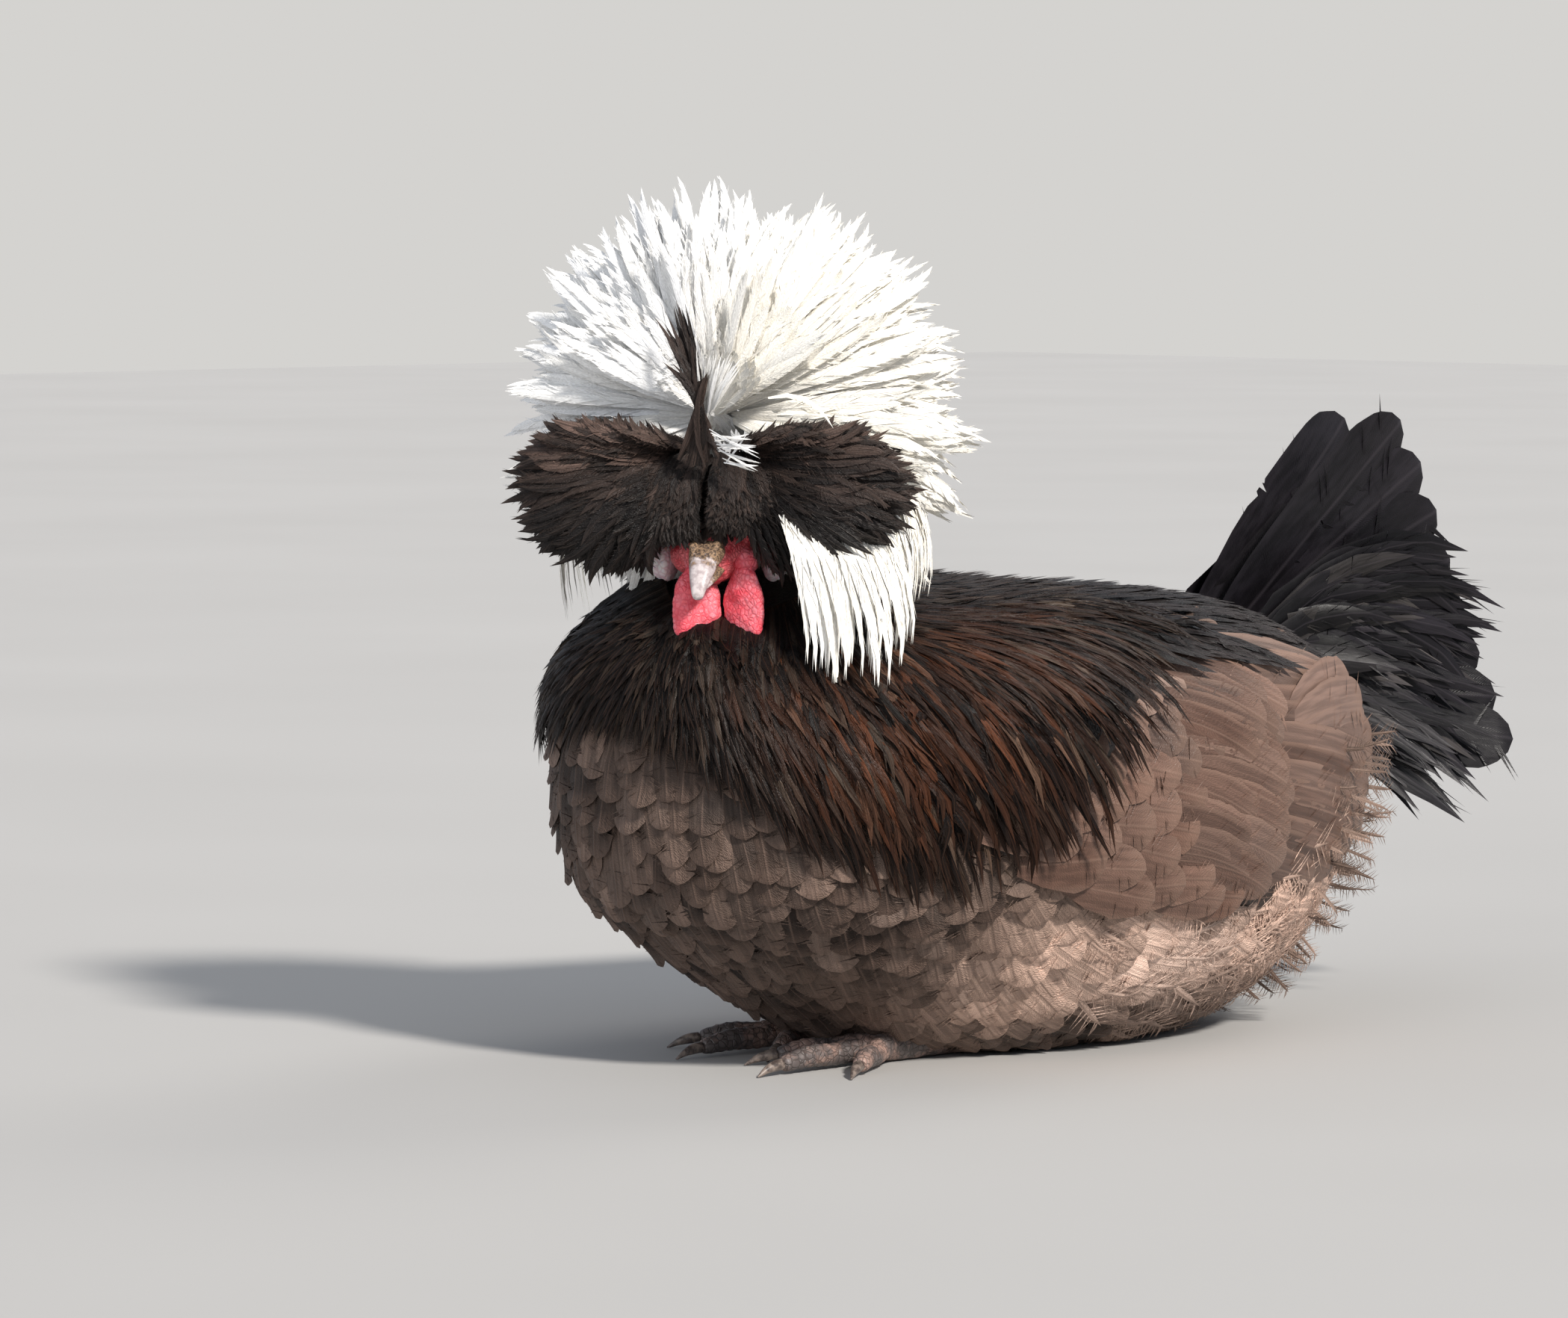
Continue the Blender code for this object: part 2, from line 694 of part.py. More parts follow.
def build_beak():
    """The upper horn, with raised nostrils, and the lower horn, parted by the line of the mouth."""
    upper = beak_part("beak_upper", (
        (0.0130, 0.0052, 0.0038, -0.0030), (0.0175, 0.0049, 0.0036, -0.0030),
        (0.0220, 0.0040, 0.0030, -0.0030), (0.0262, 0.0030, 0.0020, -0.0030),
        (0.0295, 0.0020, 0.0006, -0.0032), (0.0318, 0.0010, -0.0012, -0.0034),
    ))
    axes = (FORWARD, LEFT, UP)
    arches, slits = [], []
    for side in (1, -1):
        arch, slit = on_head(0.0190, 0.0030 * side, 0.0024), on_head(0.0196, 0.0052 * side, 0.0022)
        arches.append(ball("arch", arch, (0.0040, 0.0022, 0.0024), axes, 3, 6))
        slits.append(ball("slit", slit, (0.0022, 0.0012, 0.0009), axes, 3, 6))
    fuse(upper, arches)
    carve(upper, slits)
    lower = beak_part("beak_lower", (
        (0.0130, 0.0048, -0.0034, -0.0066), (0.0175, 0.0044, -0.0034, -0.0064),
        (0.0220, 0.0034, -0.0034, -0.0058), (0.0258, 0.0018, -0.0035, -0.0050),
    ))
    return [upper, lower]


def build_eyes():
    f, l, u = EYE_PLACE
    axes = (FORWARD, LEFT, UP)
    return [
        ball(f"eye_{where}", on_head(f, l * side, u), [EYE_RADIUS] * 3, axes, 5, 10, "eye")
        for side, where in ((1, "left"), (-1, "right"))
    ]


def wattle_frame(side):
    """Where a wattle hangs from, its thin way and its broad way: both splay outwards in front."""
    splay = WATTLE_SPLAY * side
    wide = LEFT * cosine(splay) - LEVEL_FORWARD * sine(splay)
    deep = LEVEL_FORWARD * cosine(splay) + LEFT * sine(splay)
    return on_head(0.0128, 0.0066 * side + WATTLE_SWING, -0.0048), wide, deep


def build_wattle(side):
    """A hanging flap of bare skin: a broad blade, a thick fold down its front edge and bulbs at its hem."""
    where = "left" if side > 0 else "right"
    top, wide, deep = wattle_frame(side)
    axes = (wide, deep, RISE)
    middle = top - RISE * 0.0125
    blade = ball(f"wattle_{where}", middle, (0.0026, 0.0072, 0.0130), axes, 5, 9)
    pieces = [ball("fold", middle + deep * 0.0030 + wide * 0.0008, (0.0026, 0.0026, 0.0112), axes, 4, 6)]
    for k, turn in enumerate((-52, -2, 46)):
        place = middle + deep * 0.0050 * sine(turn) - RISE * 0.0100 * cosine(turn)
        pieces.append(ball("bulb", place + wide * 0.0006 * (-1) ** k, (0.0026, 0.0030, 0.0028), axes, 3, 6))
    return fuse(blade, pieces)


def build_earlobe(side):
    """The bare lobe under the ear, in three folds."""
    where = "left" if side > 0 else "right"
    middle = on_head(0.0015, 0.0148 * side, -0.0078)
    axes = (LEFT, FORWARD, UP)
    lobe = ball(f"earlobe_{where}", middle, (0.0030, 0.0054, 0.0058), axes, 5, 8, "lobe_skin")
    folds = []
    for k in (-1, 1):
        place = middle + LEFT * side * 0.0020 + FORWARD * 0.0026 * k
        folds.append(ball("fold", place, (0.0022, 0.0016, 0.0046), axes, 4, 6, "lobe_skin"))
    return fuse(lobe, folds)


# The crest.

CREST_MIDDLE = HEAD_MIDDLE - LEVEL_FORWARD * CREST_BACK + RISE * CREST_RISE


class Dome:
    """A round body of plumage with a pole that its feathers part from."""

    def __init__(self, middle, pole, left, reach):
        self.middle = middle
        self.pole = pole.normalized()
        self.left = (left - self.pole * left.dot(self.pole)).normalized()
        self.up = self.pole.cross(self.left).normalized()
        self.reach = reach

    def way(self, theta, psi):
        """The way out at theta from the pole, turned by psi from up towards the left."""
        turned = self.up * cosine(psi) + self.left * sine(psi)
        return self.pole * cosine(theta) + turned * sine(theta)

    def place(self, theta, psi, share):
        way = self.way(theta, psi)
        return self.middle + way * self.reach(way) * share

    def feather(self, start, end, psi, shares, width, droop, twist):
        """A feather from the angle start to end, rising through shares of the dome's reach."""
        path = []
        for t in (0.0, 0.3, 0.6, 0.85, 1.0):
            theta = start + (end - start) * t
            share = shares[0] + (shares[1] - shares[0]) * t ** 0.8
            turn = psi + twist * t * t
            place = self.place(theta, turn, share) - RISE * droop * t * t
            path.append((place, self.way(theta, turn)))
        return vane(path, [width * w for w in (0.25, 0.95, 0.95, 0.58)], 0.0015, "white_plume")


def crest_reach(way):
    """How far the white crest reaches in a direction from its middle."""
    ahead, side, rise = way.dot(LEVEL_FORWARD), way.dot(LEFT), way.dot(RISE)
    long = CREST_REACH["front" if ahead > 0 else "back"]
    tall = CREST_REACH["up" if rise > 0 else "down"]
    return ((ahead / long) ** 2 + (side / CREST_REACH["side"]) ** 2 + (rise / tall) ** 2) ** -0.5


def crest_shows(theta, psi):
    """Whether a white feather ends here: none on the face, and none in front of the dark puffs."""
    turn = abs((psi + 180) % 360 - 180)
    if turn < 62 or theta < 26:
        return True
    if turn < 118:
        return theta > 68
    return theta > 86 + 0.35 * (turn - 118)


def hanging_feathers(carrier, draw):
    """Long feathers from the crest's lower edge that lie down over the nape and the sides of the neck."""
    made = []
    for turn in CREST_HANGING:
        degrees = (HEAD_TURN + turn + 180) % 360 - 180
        out = bearing(degrees)
        tip = bezier(neck_line(carrier, degrees, 0.0066), draw.uniform(0.34, 0.44))
        middle = CREST_MIDDLE - RISE * 0.012
        line = (middle + out * 0.018, middle + out * 0.052, tip + RISE * 0.022 + out * 0.004, tip)
        steps = (0.0, 0.3, 0.6, 0.85, 1.0)
        path = [(bezier(line, t), (out + RISE * 0.3 * (1 - t)).normalized()) for t in steps]
        width = draw.uniform(*CREST_FEATHER)
        made.append(vane(path, [width * w for w in (0.3, 0.95, 0.95, 0.55)], 0.0014, "white_plume"))
    return made


def build_white_crest(carrier):
    """The core, half as wide as the crest, and its feathers in rows from the parting backwards."""
    dome = Dome(CREST_MIDDLE, LEVEL_FORWARD + RISE * CREST_POLE_RISE, LEFT, crest_reach)
    draw = random.Random(11)
    rings, around = 7, 14
    made = []
    for k in range(1, rings + 1):
        theta = 180 * k / (rings + 1)
        made.append([dome.place(theta, 360 * i / around, CREST_CORE) for i in range(around)])
    core = loft(
        "crest_white", made, dome.place(0, 0, CREST_CORE), dome.place(180, 0, CREST_CORE), "white_plume",
    )
    feathers = []
    for row, (theta, count) in enumerate(CREST_ROWS):
        for i in range(count):
            psi = 360 * (i + 0.5 * (row % 2)) / count + draw.uniform(-3, 3)
            end = theta + draw.uniform(-4, 4)
            shares = (CREST_CORE * 0.78, draw.uniform(0.94, 1.0))
            width = draw.uniform(*CREST_FEATHER)
            droop = CREST_DROOP * smooth(80, 150, end)
            twist = draw.uniform(-4, 4)
            if crest_shows(end, psi):
                start = end - CREST_SWEEP
                feathers.append(dome.feather(start, end, psi, shares, width, droop, twist))
    return fuse(core, feathers + hanging_feathers(carrier, draw))


def puff_middle(side):
    return HEAD_MIDDLE + LEVEL_FORWARD * PUFF_FORWARD + LEFT * PUFF_SIDE * side + RISE * PUFF_RISE


def puff_cutter(side):
    """A smooth body round a whole puff, to cut the white crest clear of it."""
    return ball("cutter", puff_middle(side), PUFF_COVER, (LEVEL_FORWARD, LEFT, RISE), 5, 10)


def puff_feather(side, root, tip, width, bulge_from=0.012):
    """A feather of a fan: it bulges forward over the eye and falls back to its tip."""
    line = (
        root - LEVEL_FORWARD * 0.006, root.lerp(tip, 0.28) + LEVEL_FORWARD * 0.0095,
        root.lerp(tip, 0.75) + LEVEL_FORWARD * 0.0080, tip,
    )
    middle = puff_middle(side) - LEVEL_FORWARD * bulge_from
    path = [(bezier(line, t), (bezier(line, t) - middle).normalized()) for t in (0.0, 0.3, 0.6, 0.85, 1.0)]
    return vane(path, [width * w for w in (0.4, 0.9, 1.0, 0.65)], 0.0013, "dark_plume")


def build_dark_puff(side):
    """The feathers over one eye, rooted beside the parting and spread outwards and down in fans."""
    where = "left" if side > 0 else "right"
    draw = random.Random(29 + side)
    f, l, u = PUFF_ROOT
    root = HEAD_MIDDLE + LEVEL_FORWARD * f + LEFT * l * side + RISE * u
    middle = puff_middle(side)
    axes = (LEVEL_FORWARD, LEFT, RISE)
    heart = root.lerp(middle, 0.55) - LEVEL_FORWARD * 0.004
    core = ball(f"crest_dark_{where}", heart, PUFF_CORE, axes, 5, 9, "dark_plume")
    f, l, u = PUFF_INNER_TIP
    inner = HEAD_MIDDLE + LEVEL_FORWARD * f + LEFT * l * side + RISE * u
    feathers = [puff_feather(side, root, inner, PUFF_FEATHER * 0.62, 0.080)]
    for ahead, out, turns in PUFF_FANS:
        for turn in turns:
            reach = out * draw.uniform(0.95, 1.02)
            spread = LEFT * side * cosine(turn) * PUFF_REACH[1] + RISE * sine(turn) * PUFF_REACH[2]
            tip = middle + LEVEL_FORWARD * ahead + spread * reach
            start = root + LEVEL_FORWARD * (ahead * 0.35) + spread * 0.10
            feathers.append(puff_feather(side, start, tip, PUFF_FEATHER * draw.uniform(0.92, 1.05)))
    return fuse(core, feathers)


# The neck.

def bearing(degrees):
    return Vector((sine(degrees), -cosine(degrees), 0.0))


class Carrier:
    """What the hackles lie on: the torso and both wings, found by a ray from the body's middle."""

    def __init__(self):
        pieces = [torso_solid("guide", rings=25, around=40)]
        pieces += [wing_plate("guide", side, 0.0, 1.0, CUT, 0.004, WING_COVER) for side in (1, -1)]
        points, faces = [], []
        for piece in pieces:
            start = len(points)
            points += [v.co.copy() for v in piece.data.vertices]
            faces += [tuple(start + i for i in p.vertices) for p in piece.data.polygons]
            bpy.data.objects.remove(piece)
        self.tree = BVHTree.FromPolygons(points, faces)

    def hit(self, direction):
        """The outermost place in a direction from the body's middle, and the way out there."""
        far = BODY_CORE + direction * 0.4
        place, normal, _, _ = self.tree.ray_cast(far, -direction)
        return place, normal if normal.dot(direction) > 0 else -normal

    def over(self, place, lift):
        """The place, or where it would be inside, the surface under it, raised by lift."""
        way = (place - BODY_CORE).normalized()
        ground, normal = self.hit(way)
        if (place - BODY_CORE).length >= (ground - BODY_CORE).length + lift:
            return place
        return ground + way * lift


def neck_line(carrier, degrees, lift=0.0):
    """The four control points of the hackles' line at one bearing, from the jaw to the fringe."""
    out = bearing(degrees)
    tilt = out.dot(LEVEL_FORWARD)
    drop = tilt * NECK_RING_TILT["front" if tilt > 0 else "back"]
    start = NECK_RING + out * (NECK_RADIUS + lift) + RISE * (lift - drop)
    high = curve_through(FRINGE, (degrees + 180) % 360 - 180)
    aim = out * cosine(high) + RISE * sine(high)
    place, normal = carrier.hit(aim)
    end = place + normal * (FRINGE_LIFT + lift)
    back = start - end
    along = (back - normal * back.dot(normal)).normalized()
    reach = back.length
    second = start + out * 0.22 * reach - RISE * 0.22 * reach
    third = end + along * 0.50 * reach + normal * 0.02 * reach
    return start, second, third, end


def neck_core(name, carrier, lift=0.0, last=NECK_CORE_SHARE, around=24, steps=6):
    """The neck's own body under the hackles, from inside the head down to a share of their length."""
    lines = [neck_line(carrier, 360 * i / around - 180, lift) for i in range(around)]
    rings = [[bezier(line, last * k / steps) for line in lines] for k in range(steps + 1)]
    rings.append([p * 0.70 + BODY_CORE * 0.30 for p in rings[-1]])
    top = NECK_RING + RISE * (0.006 + lift)
    return loft(name, rings, top, BODY_CORE.copy(), "dark_plume")


def hackle(carrier, degrees, start, end, width):
    """A long narrow feather of the neck: it rises evenly from its sunk root to a free point."""
    path = []
    line = neck_line(carrier, degrees)
    near = neck_line(carrier, degrees + 2)
    for share in (0.0, 0.3, 0.6, 0.85, 1.0):
        t = start + (end - start) * share
        place, ahead = bezier(line, t), bezier(line, t + 0.02) - bezier(line, t - 0.02)
        out = ahead.cross(bezier(near, t) - place).normalized()
        if out.dot(place - BODY_CORE) < 0:
            out = -out
        path.append((place + out * (HACKLE_STAND * share - HACKLE_SUNK * (1 - share)), out))
    return vane(path, [width * w for w in (0.32, 1.0, 0.95, 0.6)], 0.0013, "dark_plume")


def hackle_feathers(carrier):
    draw = random.Random(5)
    feathers = []
    for row, (tip, count, long, width) in enumerate(HACKLE_ROWS):
        for i in range(count):
            degrees = 360 * (i + 0.5 * (row % 2)) / count - 180 + draw.uniform(-2, 2)
            end = tip + draw.uniform(-0.02, 0.02)
            feathers.append(hackle(carrier, degrees, end - long, end, width * draw.uniform(0.92, 1.05)))
    return feathers


# The saddle.

def saddle_place(s, phi, lift):
    return torso_point(s, phi) + torso_out(s, phi) * lift


def build_saddle(carrier):
    """A thin bed on the back, and long narrow feathers that lie back and outwards over it."""
    rings = []
    for k in range(5):
        s = 0.60 + 0.26 * k / 4
        turns = [-40 + 80 * i / 6 for i in range(7)]
        top = [saddle_place(s, phi, 0.0022) for phi in turns]
        under = [saddle_place(s, phi, -0.006) for phi in reversed(turns)]
        rings.append(top + under)
    begin = sum(rings[0], Vector()) / len(rings[0])
    end = sum(rings[-1], Vector()) / len(rings[-1])
    bed = loft("saddle", rings, begin, end, "dark_plume")
    draw = random.Random(17)
    feathers = []
    for tip, count, spread in SADDLE_ROWS:
        for i in range(count):
            phi = spread * (2 * (i + 0.5) / count - 1) + draw.uniform(-2, 2)
            long = SADDLE_FEATHER * draw.uniform(0.92, 1.05)
            path = []
            for t in (0.0, 0.3, 0.6, 0.85, 1.0):
                s = tip - long * (1 - t)
                turn = phi * (0.62 + 0.50 * t)
                place = saddle_place(s, turn, -0.0010 + 0.0052 * t)
                if t > 0:
                    place = carrier.over(place, 0.0006 + 0.0022 * t)
                path.append((place, torso_out(s, turn)))
            feathers.append(vane(path, [0.0125 * w for w in (0.3, 0.95, 0.95, 0.6)], 0.0012, "dark_plume"))
    return fuse(bed, feathers)


# The tail.

def tail_plane(side, lean=TAIL_BED_LEAN):
    """Half of the tail leans out from the middle plane. Returns the ways back, up and out for that half."""
    up = Vector((side * sine(lean), 0, cosine(lean)))
    out = Vector((side * cosine(lean), 0, -sine(lean)))
    return Vector((0, 1, 0)), up, out


def tail_vane(side, lean, turn, length, width, offset, thick, curl=0.0, start=0.012, flare=0.0):
    """A feather of the tail at an angle above level, offset outwards, curled down and flared out."""
    back, up, out = tail_plane(side, lean)
    root = TAIL_ROOT + tail_plane(side)[2] * offset
    path = []
    for t in (0.0, 0.3, 0.6, 0.85, 0.96, 1.0):
        angle = turn - curl * t * t
        away = start + (length - start) * t
        path.append((root + (back * cosine(angle) + up * sine(angle)) * away + out * flare * t * t, out))
    return vane(path, [width * w for w in (0.4, 0.85, 1.0, 0.95, 0.6)], thick, "dark_plume")


def build_tail(side):
    """Six long feathers in a fan, overlapping like a hand of cards, the highest innermost."""
    where = "left" if side > 0 else "right"
    back, up, out = tail_plane(side)
    middle = TAIL_ROOT + out * 0.0080 + back * 0.018 + up * 0.011
    bed = ball(f"tail_{where}", middle, (0.0060, 0.020, 0.020), (out, back, up), 5, 10, "dark_plume")
    vanes = []
    for i in range(RECTRICES):
        t = i / (RECTRICES - 1)
        turn = TAIL_FAN[0] + (TAIL_FAN[1] - TAIL_FAN[0]) * t
        length = TAIL_LENGTH * (0.94 + 0.06 * smooth(0.4, 1.0, t))
        offset = 0.0040 + RECTRIX_STEP * (RECTRICES - 1 - i)
        lean = TAIL_LEAN[0] + (TAIL_LEAN[1] - TAIL_LEAN[0]) * t
        flare = TAIL_FLARE * (1 - t)
        vanes.append(tail_vane(side, lean, turn, length, 0.025, offset, 0.0010, flare=flare))
    return fuse(bed, vanes)


def build_tail_coverts(side):
    """Curved feathers over the root of the fan, the longest of them the sickles."""
    where = "left" if side > 0 else "right"
    back, up, out = tail_plane(side)
    middle = TAIL_ROOT + out * 0.0182 + back * 0.017 + up * 0.010
    axes = (out, back, up)
    bed = ball(f"tail_coverts_{where}", middle, (0.0038, 0.018, 0.020), axes, 5, 10, "dark_plume")
    vanes = []
    for i in range(TAIL_COVERTS):
        t = i / (TAIL_COVERTS - 1)
        turn = -30 + 80 * t
        length = TAIL_LENGTH * (0.74 + 0.12 * smooth(0.2, 1.0, t))
        offset = 0.0156 + 0.0016 * (i % 2)
        curl = 14 + 26 * t
        lean = TAIL_LEAN[0] + (TAIL_LEAN[1] - TAIL_LEAN[0]) * t
        vanes.append(
            tail_vane(side, lean, turn, length, 0.0165, offset, 0.0014, curl, 0.006, SICKLE_FLARE)
        )
    return fuse(bed, vanes)


def tail_cutters():
    """What the saddle is cut by, to lie clear of the tail's root."""
    made = []
    for side in (1, -1):
        back, up, out = tail_plane(side)
        middle = TAIL_ROOT + out * 0.0120 + back * 0.018 + up * 0.011
        made.append(ball("cutter", middle, (0.0138, 0.0268, 0.0265), (out, back, up), 7, 12))
    return made


# The legs.

def toe_line(side, toe):
    """A toe's joints from the ball of the foot to the claw's root, and the way it points."""
    turn = TOE_TURNS[toe] * side
    ahead = Vector((sine(turn), -cosine(turn), 0.0))
    heights = (0.0042, 0.0052, 0.0040, 0.0042, 0.0030)
    start = Vector((FOOT_X[side], FOOT_Y[side], 0.0))
    return [start + ahead * TOE_LENGTHS[toe] * k / 4 + RISE * heights[k] for k in range(5)], ahead


def leg_tubes(side, name, grow=0.0, floor=0.0):
    """The shank laid back under the belly, its spur and three toes, grown by grow to make cutters."""
    x, fore = FOOT_X[side], FOOT_Y[side]
    shank = [
        Vector((x, 0.030, 0.0052)), Vector((x, 0.018, 0.0048)), Vector((x, (fore + 0.018) / 2, 0.0044)),
        Vector((x, fore + 0.004, 0.0046)), Vector((x, fore - 0.003, 0.0046)),
    ]
    spur = [
        Vector((x - 0.002 * side, fore + 0.020, 0.0045)), Vector((x - 0.0065 * side, fore + 0.022, 0.0040)),
    ]
    rods = [(shank, (0.0056, 0.0050, SHANK_RADIUS, 0.0050, 0.0046)), (spur, (0.0022, 0.0014))]
    rods += [(toe_line(side, toe)[0], (0.0040, 0.0036, 0.0031, 0.0030, TOE_END)) for toe in TOE_LENGTHS]
    return [tube(name, path, [r + grow for r in radii], 7, floor=floor) for path, radii in rods]


def build_leg(side):
    base, *others = leg_tubes(side, "leg_left" if side > 0 else "leg_right")
    return fuse(base, others)


def build_claws(side):
    where = "left" if side > 0 else "right"
    for toe in TOE_LENGTHS:
        line, ahead = toe_line(side, toe)
        root = line[-1] + ahead * (TOE_END * 0.6 + CLAW_ROOT * 0.6 + GAP)
        path = [root + ahead * CLAW_LENGTH * k / 3 - RISE * 0.0003 * k * k for k in range(4)]
        tube(f"claw_{where}_{toe}", path, [CLAW_ROOT, 0.0014, 0.0010, 0.0004], 6, "horn")


# The whole bird, each piece cut clear of what carries it.

def body_cutter():
    return torso_solid("cutter", CUT * 0.8)


def wing_cutters():
    """Both parts of both wings with the space that their feathers take."""
    return [
        wing_plate("cutter", side, *WING_SHARES[part], CUT, 0.012, WING_COVER)
        for side in (1, -1) for part in WING_SHARES
    ]


def face_cutters():
    """Smooth bodies round the skull, its knob and the ear lobes."""
    axes = (FORWARD, LEFT, UP)
    made = [
        ball("cutter", on_head(-0.001, 0, 0.001), (0.0170, 0.0150, 0.0168), axes, 7, 10),
        ball("cutter", on_head(-0.002, 0, 0.0085), (0.0132, 0.0127, 0.0137), axes, 5, 9),
    ]
    for side in (1, -1):
        lobe = on_head(0.0015, 0.0154 * side, -0.0078)
        made.append(ball("cutter", lobe, (0.0050, 0.0062, 0.0066), (LEFT, FORWARD, UP), 5, 8))
        eye = on_head(EYE_PLACE[0], EYE_PLACE[1] * side, EYE_PLACE[2])
        made.append(ball("cutter", eye, [EYE_RADIUS + 0.0010] * 3, axes, 5, 8))
    return made


def wattle_cutters():
    made = []
    for side in (1, -1):
        top, wide, deep = wattle_frame(side)
        made.append(ball("cutter", top - RISE * 0.0125, (0.0050, 0.0092, 0.0146), (wide, deep, RISE), 5, 10))
    return made


def build_body():
    """The torso, hollowed where the legs lie, with the legs and claws."""
    torso = torso_solid("torso")
    carve(torso, [rod for side in (1, -1) for rod in leg_tubes(side, "cutter", CUT * 1.8, -0.001)])
    for side in (1, -1):
        build_leg(side)
        build_claws(side)


def build_wings():
    """Each wing's plates first, clear of the torso, then its feathers."""
    for side in (1, -1):
        where = "left" if side > 0 else "right"
        flights = wing_plate(f"wing_{where}_flights", side, *WING_SHARES["flights"])
        coverts = wing_plate(f"wing_{where}_coverts", side, *WING_SHARES["coverts"])
        fuse(flights, secondary_feathers(side) + primary_feathers(side))
        fuse(coverts, covert_feathers(side))
        carve(flights, [body_cutter()])
        carve(coverts, [body_cutter()])


def build_face():
    head = build_head()
    beak = build_beak()
    eyes = build_eyes()
    carve(head, [swollen(eye) for eye in eyes])
    for horn in beak:
        carve(horn, [swollen(head)])
    wattles = [build_wattle(side) for side in (1, -1)]
    for hanging in wattles:
        carve(hanging, [swollen(piece) for piece in [head, *beak]])
    lobes = [build_earlobe(side) for side in (1, -1)]
    for lobe in lobes:
        carve(lobe, [swollen(head)])
    return [head, *beak, *eyes, *wattles, *lobes]


def cape_cutter(carrier, last=1.0):
    """The hackles' bell and the space over it, to cut what lies next to it clear."""
    return neck_core("cutter", carrier, CAPE_COVER, last, 16, 5)


def build_all():
    """The pieces in turn, each cut clear of those that it lies on."""
    build_body()
    build_wings()
    build_face()
    carrier = Carrier()
    neck = neck_core("neck_hackles", carrier)
    fuse(neck, hackle_feathers(carrier))
    carve(neck, [body_cutter(), *wing_cutters(), *face_cutters(), *wattle_cutters()])
    for side in (1, -1):
        for made in (build_tail(side), build_tail_coverts(side)):
            carve(made, [body_cutter()])
    saddle = build_saddle(carrier)
    carve(saddle, [body_cutter(), *wing_cutters(), *tail_cutters(), cape_cutter(carrier, 0.90)])
    for side in (1, -1):
        puff = build_dark_puff(side)
        carve(puff, [cape_cutter(carrier), *face_cutters()])
    white = build_white_crest(carrier)
    carve(white, [cape_cutter(carrier), puff_cutter(1), puff_cutter(-1), *face_cutters()])


clear_scene()
build_all()
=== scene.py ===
import json
import math
import random

import bmesh
import bpy
import numpy as np
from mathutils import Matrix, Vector, noise
from mathutils.bvhtree import BVHTree

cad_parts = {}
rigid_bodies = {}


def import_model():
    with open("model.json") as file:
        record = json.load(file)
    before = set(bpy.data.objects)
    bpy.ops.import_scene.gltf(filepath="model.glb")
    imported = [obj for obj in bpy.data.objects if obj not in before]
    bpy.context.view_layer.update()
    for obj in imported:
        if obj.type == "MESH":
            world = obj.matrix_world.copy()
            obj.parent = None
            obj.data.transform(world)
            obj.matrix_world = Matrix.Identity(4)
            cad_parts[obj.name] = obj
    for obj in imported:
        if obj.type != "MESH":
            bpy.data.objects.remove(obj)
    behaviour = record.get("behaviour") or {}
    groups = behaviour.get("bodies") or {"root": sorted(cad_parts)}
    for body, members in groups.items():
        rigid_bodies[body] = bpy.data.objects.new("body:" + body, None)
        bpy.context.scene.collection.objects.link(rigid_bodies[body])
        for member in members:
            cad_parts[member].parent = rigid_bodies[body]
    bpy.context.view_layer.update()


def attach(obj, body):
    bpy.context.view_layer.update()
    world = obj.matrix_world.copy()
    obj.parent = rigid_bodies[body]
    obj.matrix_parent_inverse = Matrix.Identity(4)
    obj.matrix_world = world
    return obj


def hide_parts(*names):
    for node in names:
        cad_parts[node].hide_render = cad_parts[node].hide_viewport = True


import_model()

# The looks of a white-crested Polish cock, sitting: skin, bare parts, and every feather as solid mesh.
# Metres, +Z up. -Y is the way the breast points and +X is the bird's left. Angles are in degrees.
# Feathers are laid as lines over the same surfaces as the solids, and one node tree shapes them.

RISE = Vector((0, 0, 1))
GAP = 0.0003
CUT = 0.00045

# The body: an egg shape, flattened where the belly meets the floor.
BREAST_Y = -0.120
RUMP_Y = 0.128
WIDEST_Y = -0.015
BODY_HALF_WIDTH = 0.079
BODY_MID_Z = 0.080
BODY_UP = 0.048
BODY_DOWN = 0.086
BREAST_RISE = 0.010
RUMP_RISE = 0.002
BLUNT_FRONT = 2.3
BLUNT_REAR = 3.2
SECTION_SQUARE = 2.2
BODY_CORE = Vector((0.0, -0.015, 0.085))
TUCK_HEIGHT = 0.050
TUCK_SHARE = 0.35
TUCK_LINE_Y = 0.020
TUCK_FADE = (-0.30, 0.35)

# The head: its middle, how far it is turned to the left and how far it is bowed.
HEAD_MIDDLE = Vector((0.016, -0.100, 0.151))
HEAD_TURN = 35
HEAD_BOW = 17
EYE_RADIUS = 0.0042
EYE_PLACE = (0.0055, 0.0098, 0.0035)
BEAK_ROOT = 0.0130
BEAK_LENGTH = 0.0190
BEAK_DROOP = 0.0055
WATTLE_SPLAY = 62
WATTLE_SWING = 0.0026

# The crest: a dome of white feathers round the skull's knob, parted at the front.
CREST_BACK = 0.021
CREST_RISE = 0.030
CREST_REACH = {"front": 0.048, "back": 0.062, "side": 0.067, "up": 0.067, "down": 0.062}
